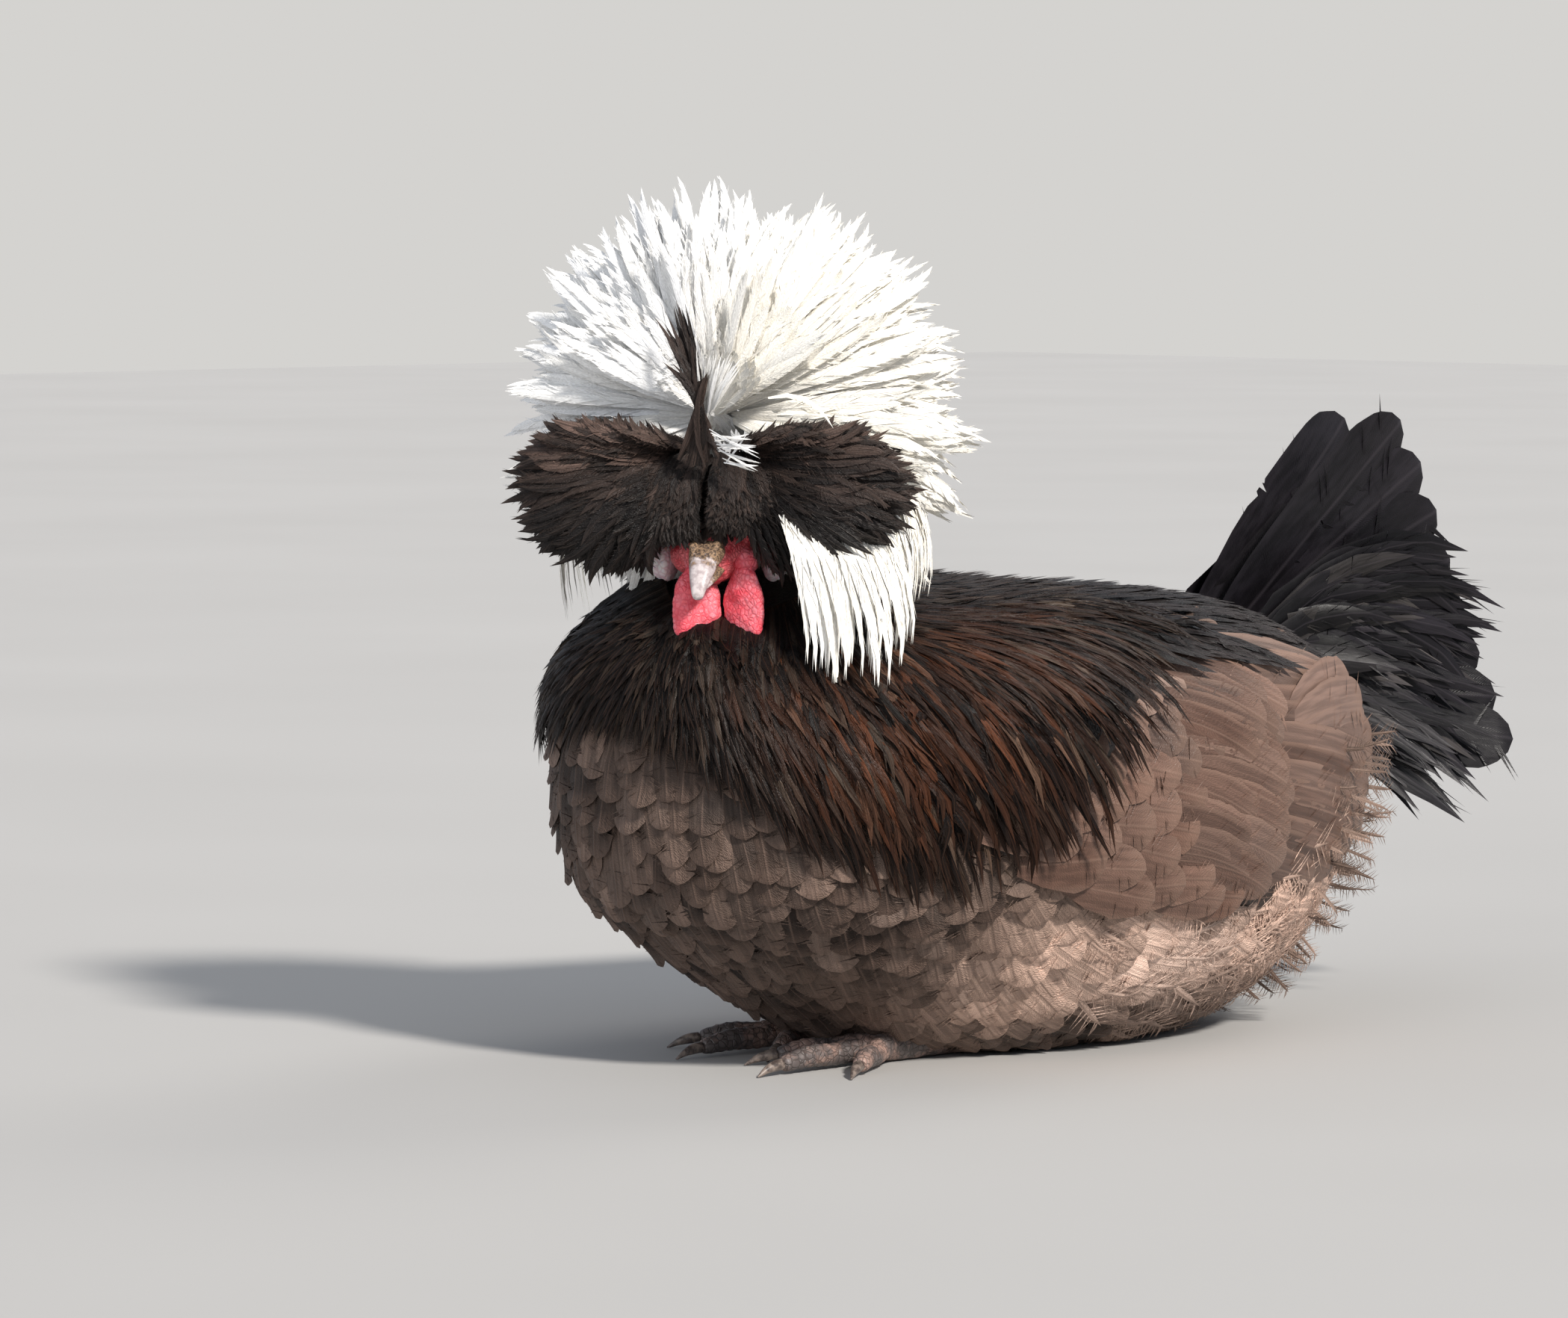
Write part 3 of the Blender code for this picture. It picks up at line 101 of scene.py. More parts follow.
# Locks that hang from the crest on the neck: (bearing, how far down the neck's line, how many feathers).
CREST_LOCKS = (
    (63, 0.36, 6), (69, 0.39, 9), (75, 0.40, 10), (81, 0.40, 10), (88, 0.38, 10), (95, 0.34, 10),
    (103, 0.29, 10),
    (112, 0.28, 10), (122, 0.30, 12), (133, 0.33, 12), (145, 0.36, 12), (158, 0.38, 12), (170, 0.38, 12),
    (-176, 0.38, 12), (-163, 0.38, 12), (-150, 0.37, 12), (-137, 0.35, 12), (-124, 0.33, 12),
    (-110, 0.32, 10),
    (-96, 0.32, 8), (-80, 0.34, 6), (-62, 0.34, 5), (-44, 0.36, 5), (-28, 0.34, 4),
)
CREST_SWEEP = 52
CREST_ROOT = 0.42
CREST_DROOP = 0.010
CREST_POLE_RISE = 0.12

# The dark puffs over the eyes: two fans of feathers that part over the beak.
PUFF_SIDE = 0.0285
PUFF_FORWARD = 0.012
PUFF_RISE = 0.0115
PUFF_REACH = (0.020, 0.0285, 0.0225)
PUFF_ROOT = (0.0110, 0.0054, 0.0215)
# The lower edge of the puff's inner part: (aside, up), from the beak outwards.
PUFF_HEM = ((0.0012, 0.0062), (0.0060, 0.0050), (0.0115, 0.0040), (0.0200, 0.0036), (0.0310, 0.0044))

# The neck, from a ring behind the jaw to the fringe of the hackles.
NECK_RING = Vector((0.011, -0.086, 0.139))
NECK_RADIUS = 0.024
NECK_RING_TILT = {"front": 0.010, "back": 0.020}
FRINGE_LIFT = 0.0026
# How far a hackle's tip lies nearer the front than its root, over the shoulder.
HACKLE_SWIRL = 16
# Round the body from the front to its left: (bearing, height of the fringe seen from the body's middle).
FRINGE = (
    (-180, 50), (-140, 34), (-108, 14), (-80, -4), (-50, -4), (-22, 3), (8, 3),
    (35, -13), (58, -21), (78, -14), (92, 2), (108, 15), (140, 34), (180, 50),
)

# The folded wing: its outline seen from the side as (length, height), and what carries it.
WING_FRONT_Y = -0.058
WING_REAR_Y = 0.110
WING_HALF_WIDTH = 0.0825
WING_CLOSING = 2.4
WING_THICK = 0.0026
WING_COVER = 0.0040
WING_SUNK = 0.004
WING_MID_Z = 0.078
WING_UP = 0.060
WING_DOWN = 0.082
WING_TOP = ((-0.058, 0.097), (-0.03, 0.115), (0.01, 0.119), (0.05, 0.111), (0.085, 0.098), (0.110, 0.084))
WING_BOTTOM = (
    (-0.058, 0.072), (-0.03, 0.054), (0.01, 0.046), (0.05, 0.046), (0.085, 0.056), (0.110, 0.072)
)

# The tail: where it grows, how far its halves lean out and how its feathers fan.
TAIL_ROOT = Vector((0.0, 0.104, 0.103))
TAIL_LEAN = (-16, 6)
TAIL_BED_LEAN = 2
SICKLE_FLARE = 0.029
TAIL_LENGTH = 0.108
TAIL_FAN = (-18, 42)
TAIL_FLARE = 0.024
TAIL_COVERTS = 5

# The legs, folded under the belly, with the toes in front of it.
FOOT_X = {1: 0.021, -1: -0.019}
FOOT_Y = {1: -0.040, -1: -0.031}
SHANK_RADIUS = 0.0044
TOE_LENGTHS = {"inner": 0.032, "middle": 0.042, "outer": 0.033}
TOE_TURNS = {"inner": -28, "middle": 2, "outer": 32}
TOE_END = 0.0022
CLAW_LENGTH = 0.0075
CLAW_ROOT = 0.0016
CLAW_SUNK = 0.0016
# How far the soles and claws stay above the floor.
SOLE = 0.0002

# The skin lies this far inside the coat, and no feather goes below the floor's clearance.
COAT_DEPTH = 0.0030
FLOOR_CLEAR = 0.0006
# A feather's patch on the unwrap of its skin, and how far widths vary round the one given.
PATCH = 0.003
WIDTH_SPREAD = (0.92, 1.08)
WHERE = {1: "left", -1: "right"}

# How many feathers grow. Where they keep a distance, this is how many places are tried.
BODY_TRIES = 30000
RUMP_TRIES = 9000
RUMP_SPACING = 0.0052
FACE_TRIES = 9000
FACE_SPACING = 0.0014
HACKLES = 4300
WING_COVERT_TRIES = 5000
WING_FLIGHTS = 13
WING_LONG_COVERTS = 22
WING_PRIMARIES = 8
SADDLE_FEATHERS = 950
TAIL_FEATHERS = 8
TAIL_LANCES = 230
CREST_PLUMES = 2100
CREST_FRONT_PLUMES = 250
CREST_POINTS = 340
PUFF_PLUMES = 1900
PUFF_INNER_PLUMES = 780


# Numbers and curves.

def sine(degrees):
    return math.sin(math.radians(degrees))


def cosine(degrees):
    return math.cos(math.radians(degrees))


def power(value, exponent):
    return math.copysign(abs(value) ** exponent, value)


def smooth(edge_a, edge_b, value):
    """0 before edge_a, 1 after edge_b, and a smooth step between them."""
    share = min(1.0, max(0.0, (value - edge_a) / (edge_b - edge_a)))
    return share * share * (3 - 2 * share)


def curve_through(rows, value):
    """A smooth line through rows of (position, value), read at a position."""
    xs = [row[0] for row in rows]
    ys = [row[1] for row in rows]
    value = min(max(value, xs[0]), xs[-1])
    k = max(i for i in range(len(xs) - 1) if xs[i] <= value)
    span = xs[k + 1] - xs[k]
    share = (value - xs[k]) / span

    def slope(i):
        a, b = max(0, i - 1), min(len(xs) - 1, i + 1)
        return (ys[b] - ys[a]) / (xs[b] - xs[a])

    h00 = (1 + 2 * share) * (1 - share) ** 2
    h10 = share * (1 - share) ** 2
    h01 = share * share * (3 - 2 * share)
    h11 = share * share * (share - 1)
    return h00 * ys[k] + h10 * span * slope(k) + h01 * ys[k + 1] + h11 * span * slope(k + 1)


def bezier(line, t):
    a, b, c, d = line
    s = 1 - t
    return a * s**3 + b * 3 * s * s * t + c * 3 * s * t * t + d * t**3


def through(a, b, c, d):
    """The Bezier points of a line that passes through four places, a third of the way apart."""
    return a, (-5 * a + 18 * b - 9 * c + 2 * d) / 6, (2 * a - 9 * b + 18 * c - 5 * d) / 6, d


def blend(a, b, share):
    return a + (b - a) * share


def turned(vector, axis, degrees):
    """A vector turned about a unit axis."""
    c, s = cosine(degrees), sine(degrees)
    return vector * c + axis.cross(vector) * s + axis * axis.dot(vector) * (1 - c)


# Meshes.

def link(name, mesh):
    obj = bpy.data.objects.new(name, mesh)
    bpy.context.scene.collection.objects.link(obj)
    return obj


def mesh_object(name, points, faces, soft=True):
    """An object from points and faces, its faces turned outwards."""
    mesh = bpy.data.meshes.new(name)
    mesh.from_pydata([tuple(map(float, p)) for p in points], [], [tuple(f) for f in faces])
    work = bmesh.new()
    work.from_mesh(mesh)
    bmesh.ops.recalc_face_normals(work, faces=work.faces)
    if work.calc_volume(signed=True) < 0:
        bmesh.ops.reverse_faces(work, faces=work.faces)
    work.to_mesh(mesh)
    work.free()
    if soft:
        mesh.shade_smooth()
    return link(name, mesh)


def loft_parts(rings, first, last):
    """Points and faces of a closed skin over rings, from a point before them to one after them."""
    count = len(rings[0])
    points = [first, *[p for ring in rings for p in ring], last]
    faces = []
    for i in range(count):
        j = (i + 1) % count
        faces.append((0, 1 + j, 1 + i))
        for k in range(len(rings) - 1):
            a, b = 1 + k * count, 1 + (k + 1) * count
            faces.append((a + i, a + j, b + j, b + i))
        end = 1 + (len(rings) - 1) * count
        faces.append((end + i, end + j, len(points) - 1))
    return points, faces


def ball_parts(centre, radii, axes, rings=16, around=24):
    a, b, c = axes
    made = []
    for k in range(1, rings + 1):
        lat = 180 * k / (rings + 1)
        made.append([
            centre
            + a * radii[0] * sine(lat) * cosine(360 * i / around)
            + b * radii[1] * sine(lat) * sine(360 * i / around)
            + c * radii[2] * cosine(lat)
            for i in range(around)
        ])
    return loft_parts(made, centre + c * radii[2], centre - c * radii[2])


def joined(parts):
    """Several (points, faces) as one."""
    points, faces = [], []
    for some_points, some_faces in parts:
        start = len(points)
        points += list(some_points)
        faces += [tuple(start + i for i in face) for face in some_faces]
    return points, faces


def baked(obj):
    """Puts what an object's modifiers make into its own mesh."""
    graph = bpy.context.evaluated_depsgraph_get()
    made = bpy.data.meshes.new_from_object(obj.evaluated_get(graph))
    obj.modifiers.clear()
    old, obj.data = obj.data, made
    bpy.data.meshes.remove(old)
    return obj


def remeshed(obj, voxel, rounds):
    """Fuses the shells of a mesh into one skin of even faces and smooths it."""
    step = obj.modifiers.new("fuse", "REMESH")
    step.mode = "VOXEL"
    step.voxel_size = voxel
    step.use_smooth_shade = True
    ease = obj.modifiers.new("ease", "SMOOTH")
    ease.factor = 0.5
    ease.iterations = rounds
    return baked(obj)


def set_number(mesh, name, values):
    """Stores one number for each point."""
    held = mesh.attributes.new(name, "FLOAT", "POINT")
    held.data.foreach_set("value", np.asarray(values, dtype=np.float32))


def set_vector(mesh, name, values):
    held = mesh.attributes.new(name, "FLOAT_VECTOR", "POINT")
    held.data.foreach_set("vector", np.asarray(values, dtype=np.float32).ravel())


# The body.

def torso_size(t):
    """How full the body's section is at t: -1 at the breast, 0 where it is widest, 1 at the rump."""
    blunt = BLUNT_FRONT if t < 0 else BLUNT_REAR
    return max(0.0, 1 - min(1.0, abs(t)) ** blunt) ** (1 / blunt)


def torso_middle(t):
    return BODY_MID_Z + (BREAST_RISE if t < 0 else RUMP_RISE) * t * t


def torso_tuck(t, z):
    """How far the lower breast is drawn in at t and a height z, as a share."""
    low = max(0.0, 1 - max(0.0, z) / TUCK_HEIGHT)
    return TUCK_SHARE * low ** 1.3 * (1 - smooth(*TUCK_FADE, t))


def torso_point(s, phi, grow=0.0):
    """s runs from the breast, 0, to the rump, 1. phi is 0 on the back and 90 on the left side."""
    t = -math.cos(math.pi * s)
    reach = (WIDEST_Y - BREAST_Y if t < 0 else RUMP_Y - WIDEST_Y) + grow
    size = torso_size(t)
    side, rise = power(sine(phi), 2 / SECTION_SQUARE), power(cosine(phi), 2 / SECTION_SQUARE)
    tall = BODY_UP if rise > 0 else BODY_DOWN
    z = max(-grow, torso_middle(t) + rise * (tall + grow) * size)
    y = WIDEST_Y + reach * t
    drawn = torso_tuck(t, z)
    return Vector(((BODY_HALF_WIDTH + grow) * size * side * (1 - drawn), y + (TUCK_LINE_Y - y) * drawn, z))


def torso_out(s, phi):
    """The way out of the body's surface."""
    step = 0.004
    along = torso_point(s + step, phi) - torso_point(s - step, phi)
    round_it = torso_point(s, phi + 1) - torso_point(s, phi - 1)
    out = along.cross(round_it).normalized()
    return out if out.dot(torso_point(s, phi) - BODY_CORE) > 0 else -out


def torso_reach(y, z):
    """Half the torso's width at a length y and a height z."""
    t = (y - WIDEST_Y) / (WIDEST_Y - BREAST_Y if y < WIDEST_Y else RUMP_Y - WIDEST_Y)
    size = torso_size(t)
    if size < 0.05:
        return 0.0
    rise = (z - torso_middle(t)) / size
    share = min(1.0, abs(rise) / (BODY_UP if rise > 0 else BODY_DOWN))
    wide = BODY_HALF_WIDTH * size * (1 - share ** SECTION_SQUARE) ** (1 / SECTION_SQUARE)
    return wide * (1 - torso_tuck(t, z))


def torso_parts(grow=0.0, rings=60, around=96):
    turns = [360 * i / around for i in range(around)]
    made = [[torso_point(k / (rings + 1), turn, grow) for turn in turns] for k in range(1, rings + 1)]
    return loft_parts(made, torso_point(0, 0, grow), torso_point(1, 0, grow))


# The wings.

def wing_reach(y, z):
    """How far out the wing's surface is at a length y and a height z, on the torso and past it."""
    wide = WING_HALF_WIDTH - WING_CLOSING * max(0.0, y - 0.01) ** 2 - WING_CLOSING * min(0.0, y + 0.02) ** 2
    tall = WING_UP if z > WING_MID_Z else WING_DOWN
    share = min(0.98, abs(z - WING_MID_Z) / tall)
    own = wide * (1 - share ** 2.2) ** (1 / 2.2)
    body = torso_reach(y, z)
    return 0.5 * (own + body) + math.sqrt(0.25 * (own - body) ** 2 + 0.000001)


def wing_place(y, z, lift, side):
    return Vector((side * (wing_reach(y, z) + lift), y, z))


def wing_out(y, z, side):
    """The way out of the wing's carrying surface."""
    step = 0.002
    back = wing_place(y + step, z, 0, side) - wing_place(y - step, z, 0, side)
    rise = wing_place(y, z + step, 0, side) - wing_place(y, z - step, 0, side)
    out = back.cross(rise).normalized()
    return out if out.x * side > 0 else -out


def wing_parts(side, rows=14, columns=12):
    """The wing's plate with the space that its feathers take."""
    long = WING_REAR_Y - WING_FRONT_Y
    rings = []
    for k in range(rows + 1):
        p = -CUT / long + (1.0 + 2 * CUT / long) * k / rows
        y = WING_FRONT_Y + p * long
        over = CUT + WING_COVER * smooth(0.04, 0.30, p)
        low, high = curve_through(WING_BOTTOM, y) - over, curve_through(WING_TOP, y) + over
        fullness = 0.45 + 0.55 * math.sin(math.pi * min(1.0, max(0.0, 0.08 + 0.84 * p))) ** 0.5
        outer, inner = [], []
        for i in range(columns + 1):
            z = low + (high - low) * i / columns
            lift = WING_THICK * fullness * (0.35 + 0.65 * math.sin(math.pi * i / columns)) + over
            outer.append(wing_place(y, z, lift, side))
            inner.append(wing_place(y, z, -WING_SUNK, side))
        rings.append(outer + inner[::-1])
    begin = sum(rings[0], Vector()) / len(rings[0])
    end = sum(rings[-1], Vector()) / len(rings[-1])
    return loft_parts(rings, begin, end)


# The head, the crest, the neck and the tail.

def head_frame():
    """The head's own axes: forward, left and up."""
    level = Vector((sine(HEAD_TURN), -cosine(HEAD_TURN), 0.0))
    forward = level * cosine(HEAD_BOW) - RISE * sine(HEAD_BOW)
    left = Vector((cosine(HEAD_TURN), sine(HEAD_TURN), 0.0))
    return forward, left, forward.cross(left)


FORWARD, LEFT, UP = head_frame()
LEVEL_FORWARD = Vector((sine(HEAD_TURN), -cosine(HEAD_TURN), 0.0))


def on_head(f, l, u):
    return HEAD_MIDDLE + FORWARD * f + LEFT * l + UP * u


def wattle_frame(side):
    """Where a wattle hangs from, its thin way and its broad way: both splay outwards in front."""
    splay = WATTLE_SPLAY * side
    wide = LEFT * cosine(splay) - LEVEL_FORWARD * sine(splay)
    deep = LEVEL_FORWARD * cosine(splay) + LEFT * sine(splay)
    return on_head(0.0128, 0.0066 * side + WATTLE_SWING, -0.0048), wide, deep


CREST_MIDDLE = HEAD_MIDDLE - LEVEL_FORWARD * CREST_BACK + RISE * CREST_RISE


def crest_reach(way):
    """How far the white crest reaches in a direction from its middle."""
    ahead, side, rise = way.dot(LEVEL_FORWARD), way.dot(LEFT), way.dot(RISE)
    long = CREST_REACH["front" if ahead > 0 else "back"]
    tall = CREST_REACH["up" if rise > 0 else "down"]
    return ((ahead / long) ** 2 + (side / CREST_REACH["side"]) ** 2 + (rise / tall) ** 2) ** -0.5


def puff_middle(side):
    return HEAD_MIDDLE + LEVEL_FORWARD * PUFF_FORWARD + LEFT * PUFF_SIDE * side + RISE * PUFF_RISE


def bearing(degrees):
    return Vector((sine(degrees), -cosine(degrees), 0.0))


def neck_line(carrier, degrees, lift=0.0):
    """The four control points of the hackles' line at one bearing, from the jaw to the fringe."""
    out = bearing(degrees)
    tilt = out.dot(LEVEL_FORWARD)
    drop = tilt * NECK_RING_TILT["front" if tilt > 0 else "back"]
    start = NECK_RING + out * (NECK_RADIUS + lift) + RISE * (lift - drop)
    high = curve_through(FRINGE, (degrees + 180) % 360 - 180)
    aim = out * cosine(high) + RISE * sine(high)
    place, normal = carrier.hit(aim)
    end = place + normal * (FRINGE_LIFT + lift)
    back = start - end
    along = (back - normal * back.dot(normal)).normalized()
    reach = back.length
    second = start + out * 0.22 * reach - RISE * 0.22 * reach
    third = end + along * 0.50 * reach + normal * 0.02 * reach
    return start, second, third, end


def tail_plane(side, lean=TAIL_BED_LEAN):
    """Half of the tail leans out from the middle plane. Returns the ways back, up and out for that half."""
    up = Vector((side * sine(lean), 0, cosine(lean)))
    out = Vector((side * cosine(lean), 0, -sine(lean)))
    return Vector((0, 1, 0)), up, out


def toe_line(side, toe):
    """A toe's joints from the ball of the foot to the claw's root, and the way it points."""
    turn = TOE_TURNS[toe] * side
    ahead = Vector((sine(turn), -cosine(turn), 0.0))
    heights = (0.0042, 0.0052, 0.0040, 0.0042, 0.0030)
    start = Vector((FOOT_X[side], FOOT_Y[side], 0.0))
    return [start + ahead * TOE_LENGTHS[toe] * k / 4 + RISE * heights[k] for k in range(5)], ahead


class Carrier:
    """What the feathers lie on: the torso and both wings, found by a ray from the body's middle."""

    def __init__(self):
        parts = [torso_parts(), wing_parts(1), wing_parts(-1)]
        self.tree = BVHTree.FromPolygons(*joined(parts))
        self.body = BVHTree.FromPolygons(*torso_parts())

    def hit(self, direction):
        """The outermost place in a direction from the body's middle, and the way out there."""
        far = BODY_CORE + direction * 0.4
        place, normal, _, _ = self.tree.ray_cast(far, -direction)
        return place, normal if normal.dot(direction) > 0 else -normal

    def over(self, place, lift):
        """The place, or where it would be inside, the surface under it, raised by lift."""
        way = (place - BODY_CORE).normalized()
        ground, normal = self.hit(way)
        if (place - BODY_CORE).length >= (ground - BODY_CORE).length + lift:
            return place
        return ground + way * lift

    def on_body(self, place):
        """The nearest place on the torso and the way out there."""
        ground, normal, _, _ = self.body.find_nearest(place)
        return ground, normal if normal.dot(ground - BODY_CORE) > 0 else -normal


def dome_axes(pole, left):
    pole = pole.normalized()
    left = (left - pole * left.dot(pole)).normalized()
    return pole, left, pole.cross(left).normalized()


CREST_POLE, CREST_LEFT, CREST_UP = dome_axes(LEVEL_FORWARD + RISE * CREST_POLE_RISE, LEFT)


def crest_way(theta, psi):
    turned_way = CREST_UP * cosine(psi) + CREST_LEFT * sine(psi)
    return CREST_POLE * cosine(theta) + turned_way * sine(theta)


# Shapes of feathers. Across runs -0.5 to 0.5, along 0 to 1, and height is a share of the width.

SHAPE_KINDS = ("contour", "lance", "plume", "fluff", "flight")
SHAPES_OF_A_KIND = 4


def blade(widths, marks, slant, depth, draw, splits):
    """A closed wedge: rings of left edge, ridge and right edge, with slits that run in from the edges."""
    rings = []
    for along in marks:
        half = 0.5 * curve_through(widths, along)
        left = half * draw.uniform(0.93, 1.0)
        right = half * draw.uniform(0.93, 1.0)
        rings.append(((-left, along), (right, along), half))
    for along, side, share in splits:
        half = 0.5 * curve_through(widths, along)
        for step, inner in ((-0.006, 1.0), (-0.012, share), (0.012, 1.0)):
            cut = half * inner
            place = along + step
            left = -cut if side < 0 else -half
            right = cut if side > 0 else half
            rings.append(((left, place), (right, place), half))
    rings.sort(key=lambda ring: ring[0][1])
    points, faces = [], []
    for (lx, lt), (rx, rt), half in rings:
        middle = max(0.0, lt - slant * half * 2)
        points += [
            (lx, lt, -depth * 4 * half * half), (0.0, middle, depth * 0.4),
            (rx, rt, -depth * 4 * half * half)
        ]
    points.append((0.0, 1.0, -depth * 0.2))
    faces.append((0, 1, 2))
    for k in range(len(rings) - 1):
        a, b = 3 * k, 3 * k + 3
        faces += [(a, b, b + 1, a + 1), (a + 1, b + 1, b + 2, a + 2), (a + 2, b + 2, b, a)]
    end = 3 * (len(rings) - 1)
    last = len(points) - 1
    faces += [(end, last, end + 1), (end + 1, last, end + 2), (end + 2, last, end)]
    return points, faces


def barb(side, start, long, reach, wide, rise, thick):
    """A closed sliver that grows from the shaft outwards and on towards the tip."""
    a = (0.0, start, 0.0)
    b = (0.0, min(0.985, start + wide), 0.0)
    c = (side * reach * 0.35, start + wide * 0.5 + long * 0.35, thick + rise * 0.35)
    tip = (side * reach, min(1.03, start + long), rise)
    return [a, b, c, tip], [(0, 1, 2), (0, 3, 1), (0, 2, 3), (1, 3, 2)]


def feather_shape(kind, number):
    """One feather of a kind as a mesh object that carries its own across, along and height."""
    draw = random.Random(100 * SHAPE_KINDS.index(kind) + number)
    parts = []
    if kind == "contour":
        widths = (
            (0, 0.34), (0.3, 0.80), (0.55, 1.0), (0.72, 0.99), (0.84, 0.86), (0.92, 0.64), (0.97, 0.38),
            (1.0, 0.08)
        )
        splits = [
            (draw.uniform(0.60, 0.88), draw.choice((-1, 1)), draw.uniform(0.55, 0.80)) for _ in range(1)
        ]
        parts.append(blade(widths, (0.0, 0.3, 0.55, 0.72, 0.84, 0.92, 0.97), 0.02, 0.085, draw, splits))
        for _ in range(6):
            side = draw.choice((-1, 1))
            start = draw.uniform(0.55, 0.88)
            reach = 0.5 * curve_through(widths, min(0.99, start + 0.10)) + 0.03
            parts.append(barb(side, start, 0.11, reach, 0.02, 0.0, 0.012))
    if kind == "lance":
        widths = ((0, 0.40), (0.25, 0.85), (0.5, 1.0), (0.72, 0.82), (0.88, 0.45), (1.0, 0.05))
        splits = [(draw.uniform(0.5, 0.9), draw.choice((-1, 1)), draw.uniform(0.4, 0.7))]
        parts.append(blade(widths, (0.0, 0.25, 0.5, 0.72, 0.88), 0.03, 0.10, draw, splits))
        for _ in range(4):
            side = draw.choice((-1, 1))
            parts.append(
                barb(side, draw.uniform(0.5, 0.85), 0.16, draw.uniform(0.3, 0.55), 0.025, 0.05, 0.02)
            )
    if kind == "plume":
        widths = ((0, 0.30), (0.3, 0.70), (0.55, 0.86), (0.75, 0.64), (0.9, 0.30), (1.0, 0.03))
        parts.append(blade(widths, (0.0, 0.3, 0.55, 0.75, 0.9), 0.04, 0.09, draw, []))
        for k in range(10):
            side = 1 if k % 2 else -1
            start = 0.30 + 0.060 * k + draw.uniform(-0.02, 0.02)
            reach = curve_through(widths, min(1.0, start + 0.1)) * draw.uniform(0.50, 0.72) + 0.08
            parts.append(
                barb(side, start, draw.uniform(0.12, 0.18), reach, 0.035, draw.uniform(-0.05, 0.08), 0.02)
            )
    if kind == "fluff":
        widths = ((0, 0.10), (0.4, 0.14), (0.8, 0.10), (1.0, 0.03))
        parts.append(blade(widths, (0.0, 0.4, 0.75), 0.0, 0.05, draw, []))
        for k in range(22):
            side = 1 if k % 2 else -1
            start = 0.05 + 0.040 * k + draw.uniform(-0.02, 0.02)
            reach = 0.5 * math.sin(
                math.pi * min(0.95, 0.18 + start * 0.75)
            ) ** 0.6 * draw.uniform(0.75, 1.05)
            parts.append(
                barb(side, start, draw.uniform(0.14, 0.24), reach, 0.018, draw.uniform(-0.03, 0.06), 0.008)
            )
    if kind == "flight":
        widths = (
            (0, 0.42), (0.2, 0.80), (0.5, 1.0), (0.8, 0.98), (0.90, 0.84), (0.955, 0.62), (0.985, 0.36),
            (1.0, 0.10)
        )
        splits = [(draw.uniform(0.5, 0.9), draw.choice((-1, 1)), draw.uniform(0.7, 0.9)) for _ in range(2)]
        marks = (0.0, 0.1, 0.2, 0.3, 0.4, 0.5, 0.6, 0.7, 0.8, 0.86, 0.90, 0.93, 0.955, 0.985)
        parts.append(blade(widths, marks, 0.015, 0.05, draw, splits))
        for _ in range(8):
            side = draw.choice((-1, 1))
            parts.append(
                barb(side, draw.uniform(0.4, 0.93), 0.09, draw.uniform(0.46, 0.54), 0.02, 0.0, 0.01)
            )
    points, faces = joined(parts)
    mesh = bpy.data.meshes.new(f"{SHAPE_KINDS.index(kind)}_{number}")
    mesh.from_pydata(points, [], faces)
    work = bmesh.new()
    work.from_mesh(mesh)
    bmesh.ops.recalc_face_normals(work, faces=work.faces)
    for edge in work.edges:
        edge.smooth = edge.calc_face_angle(0.0) < math.radians(70)
    work.to_mesh(mesh)
    work.free()
    mesh.shade_smooth()
    set_vector(mesh, "shape", points)
    return bpy.data.objects.new(mesh.name, mesh)


def shape_collection():
    """All shapes, in the order that a feather's pick counts them."""
    held = bpy.data.collections.new("feather_shapes")
    for kind in SHAPE_KINDS:
        for number in range(SHAPES_OF_A_KIND):
            held.objects.link(feather_shape(kind, number))
    return held


# Nodes, and the tree that lays feathers along lines.

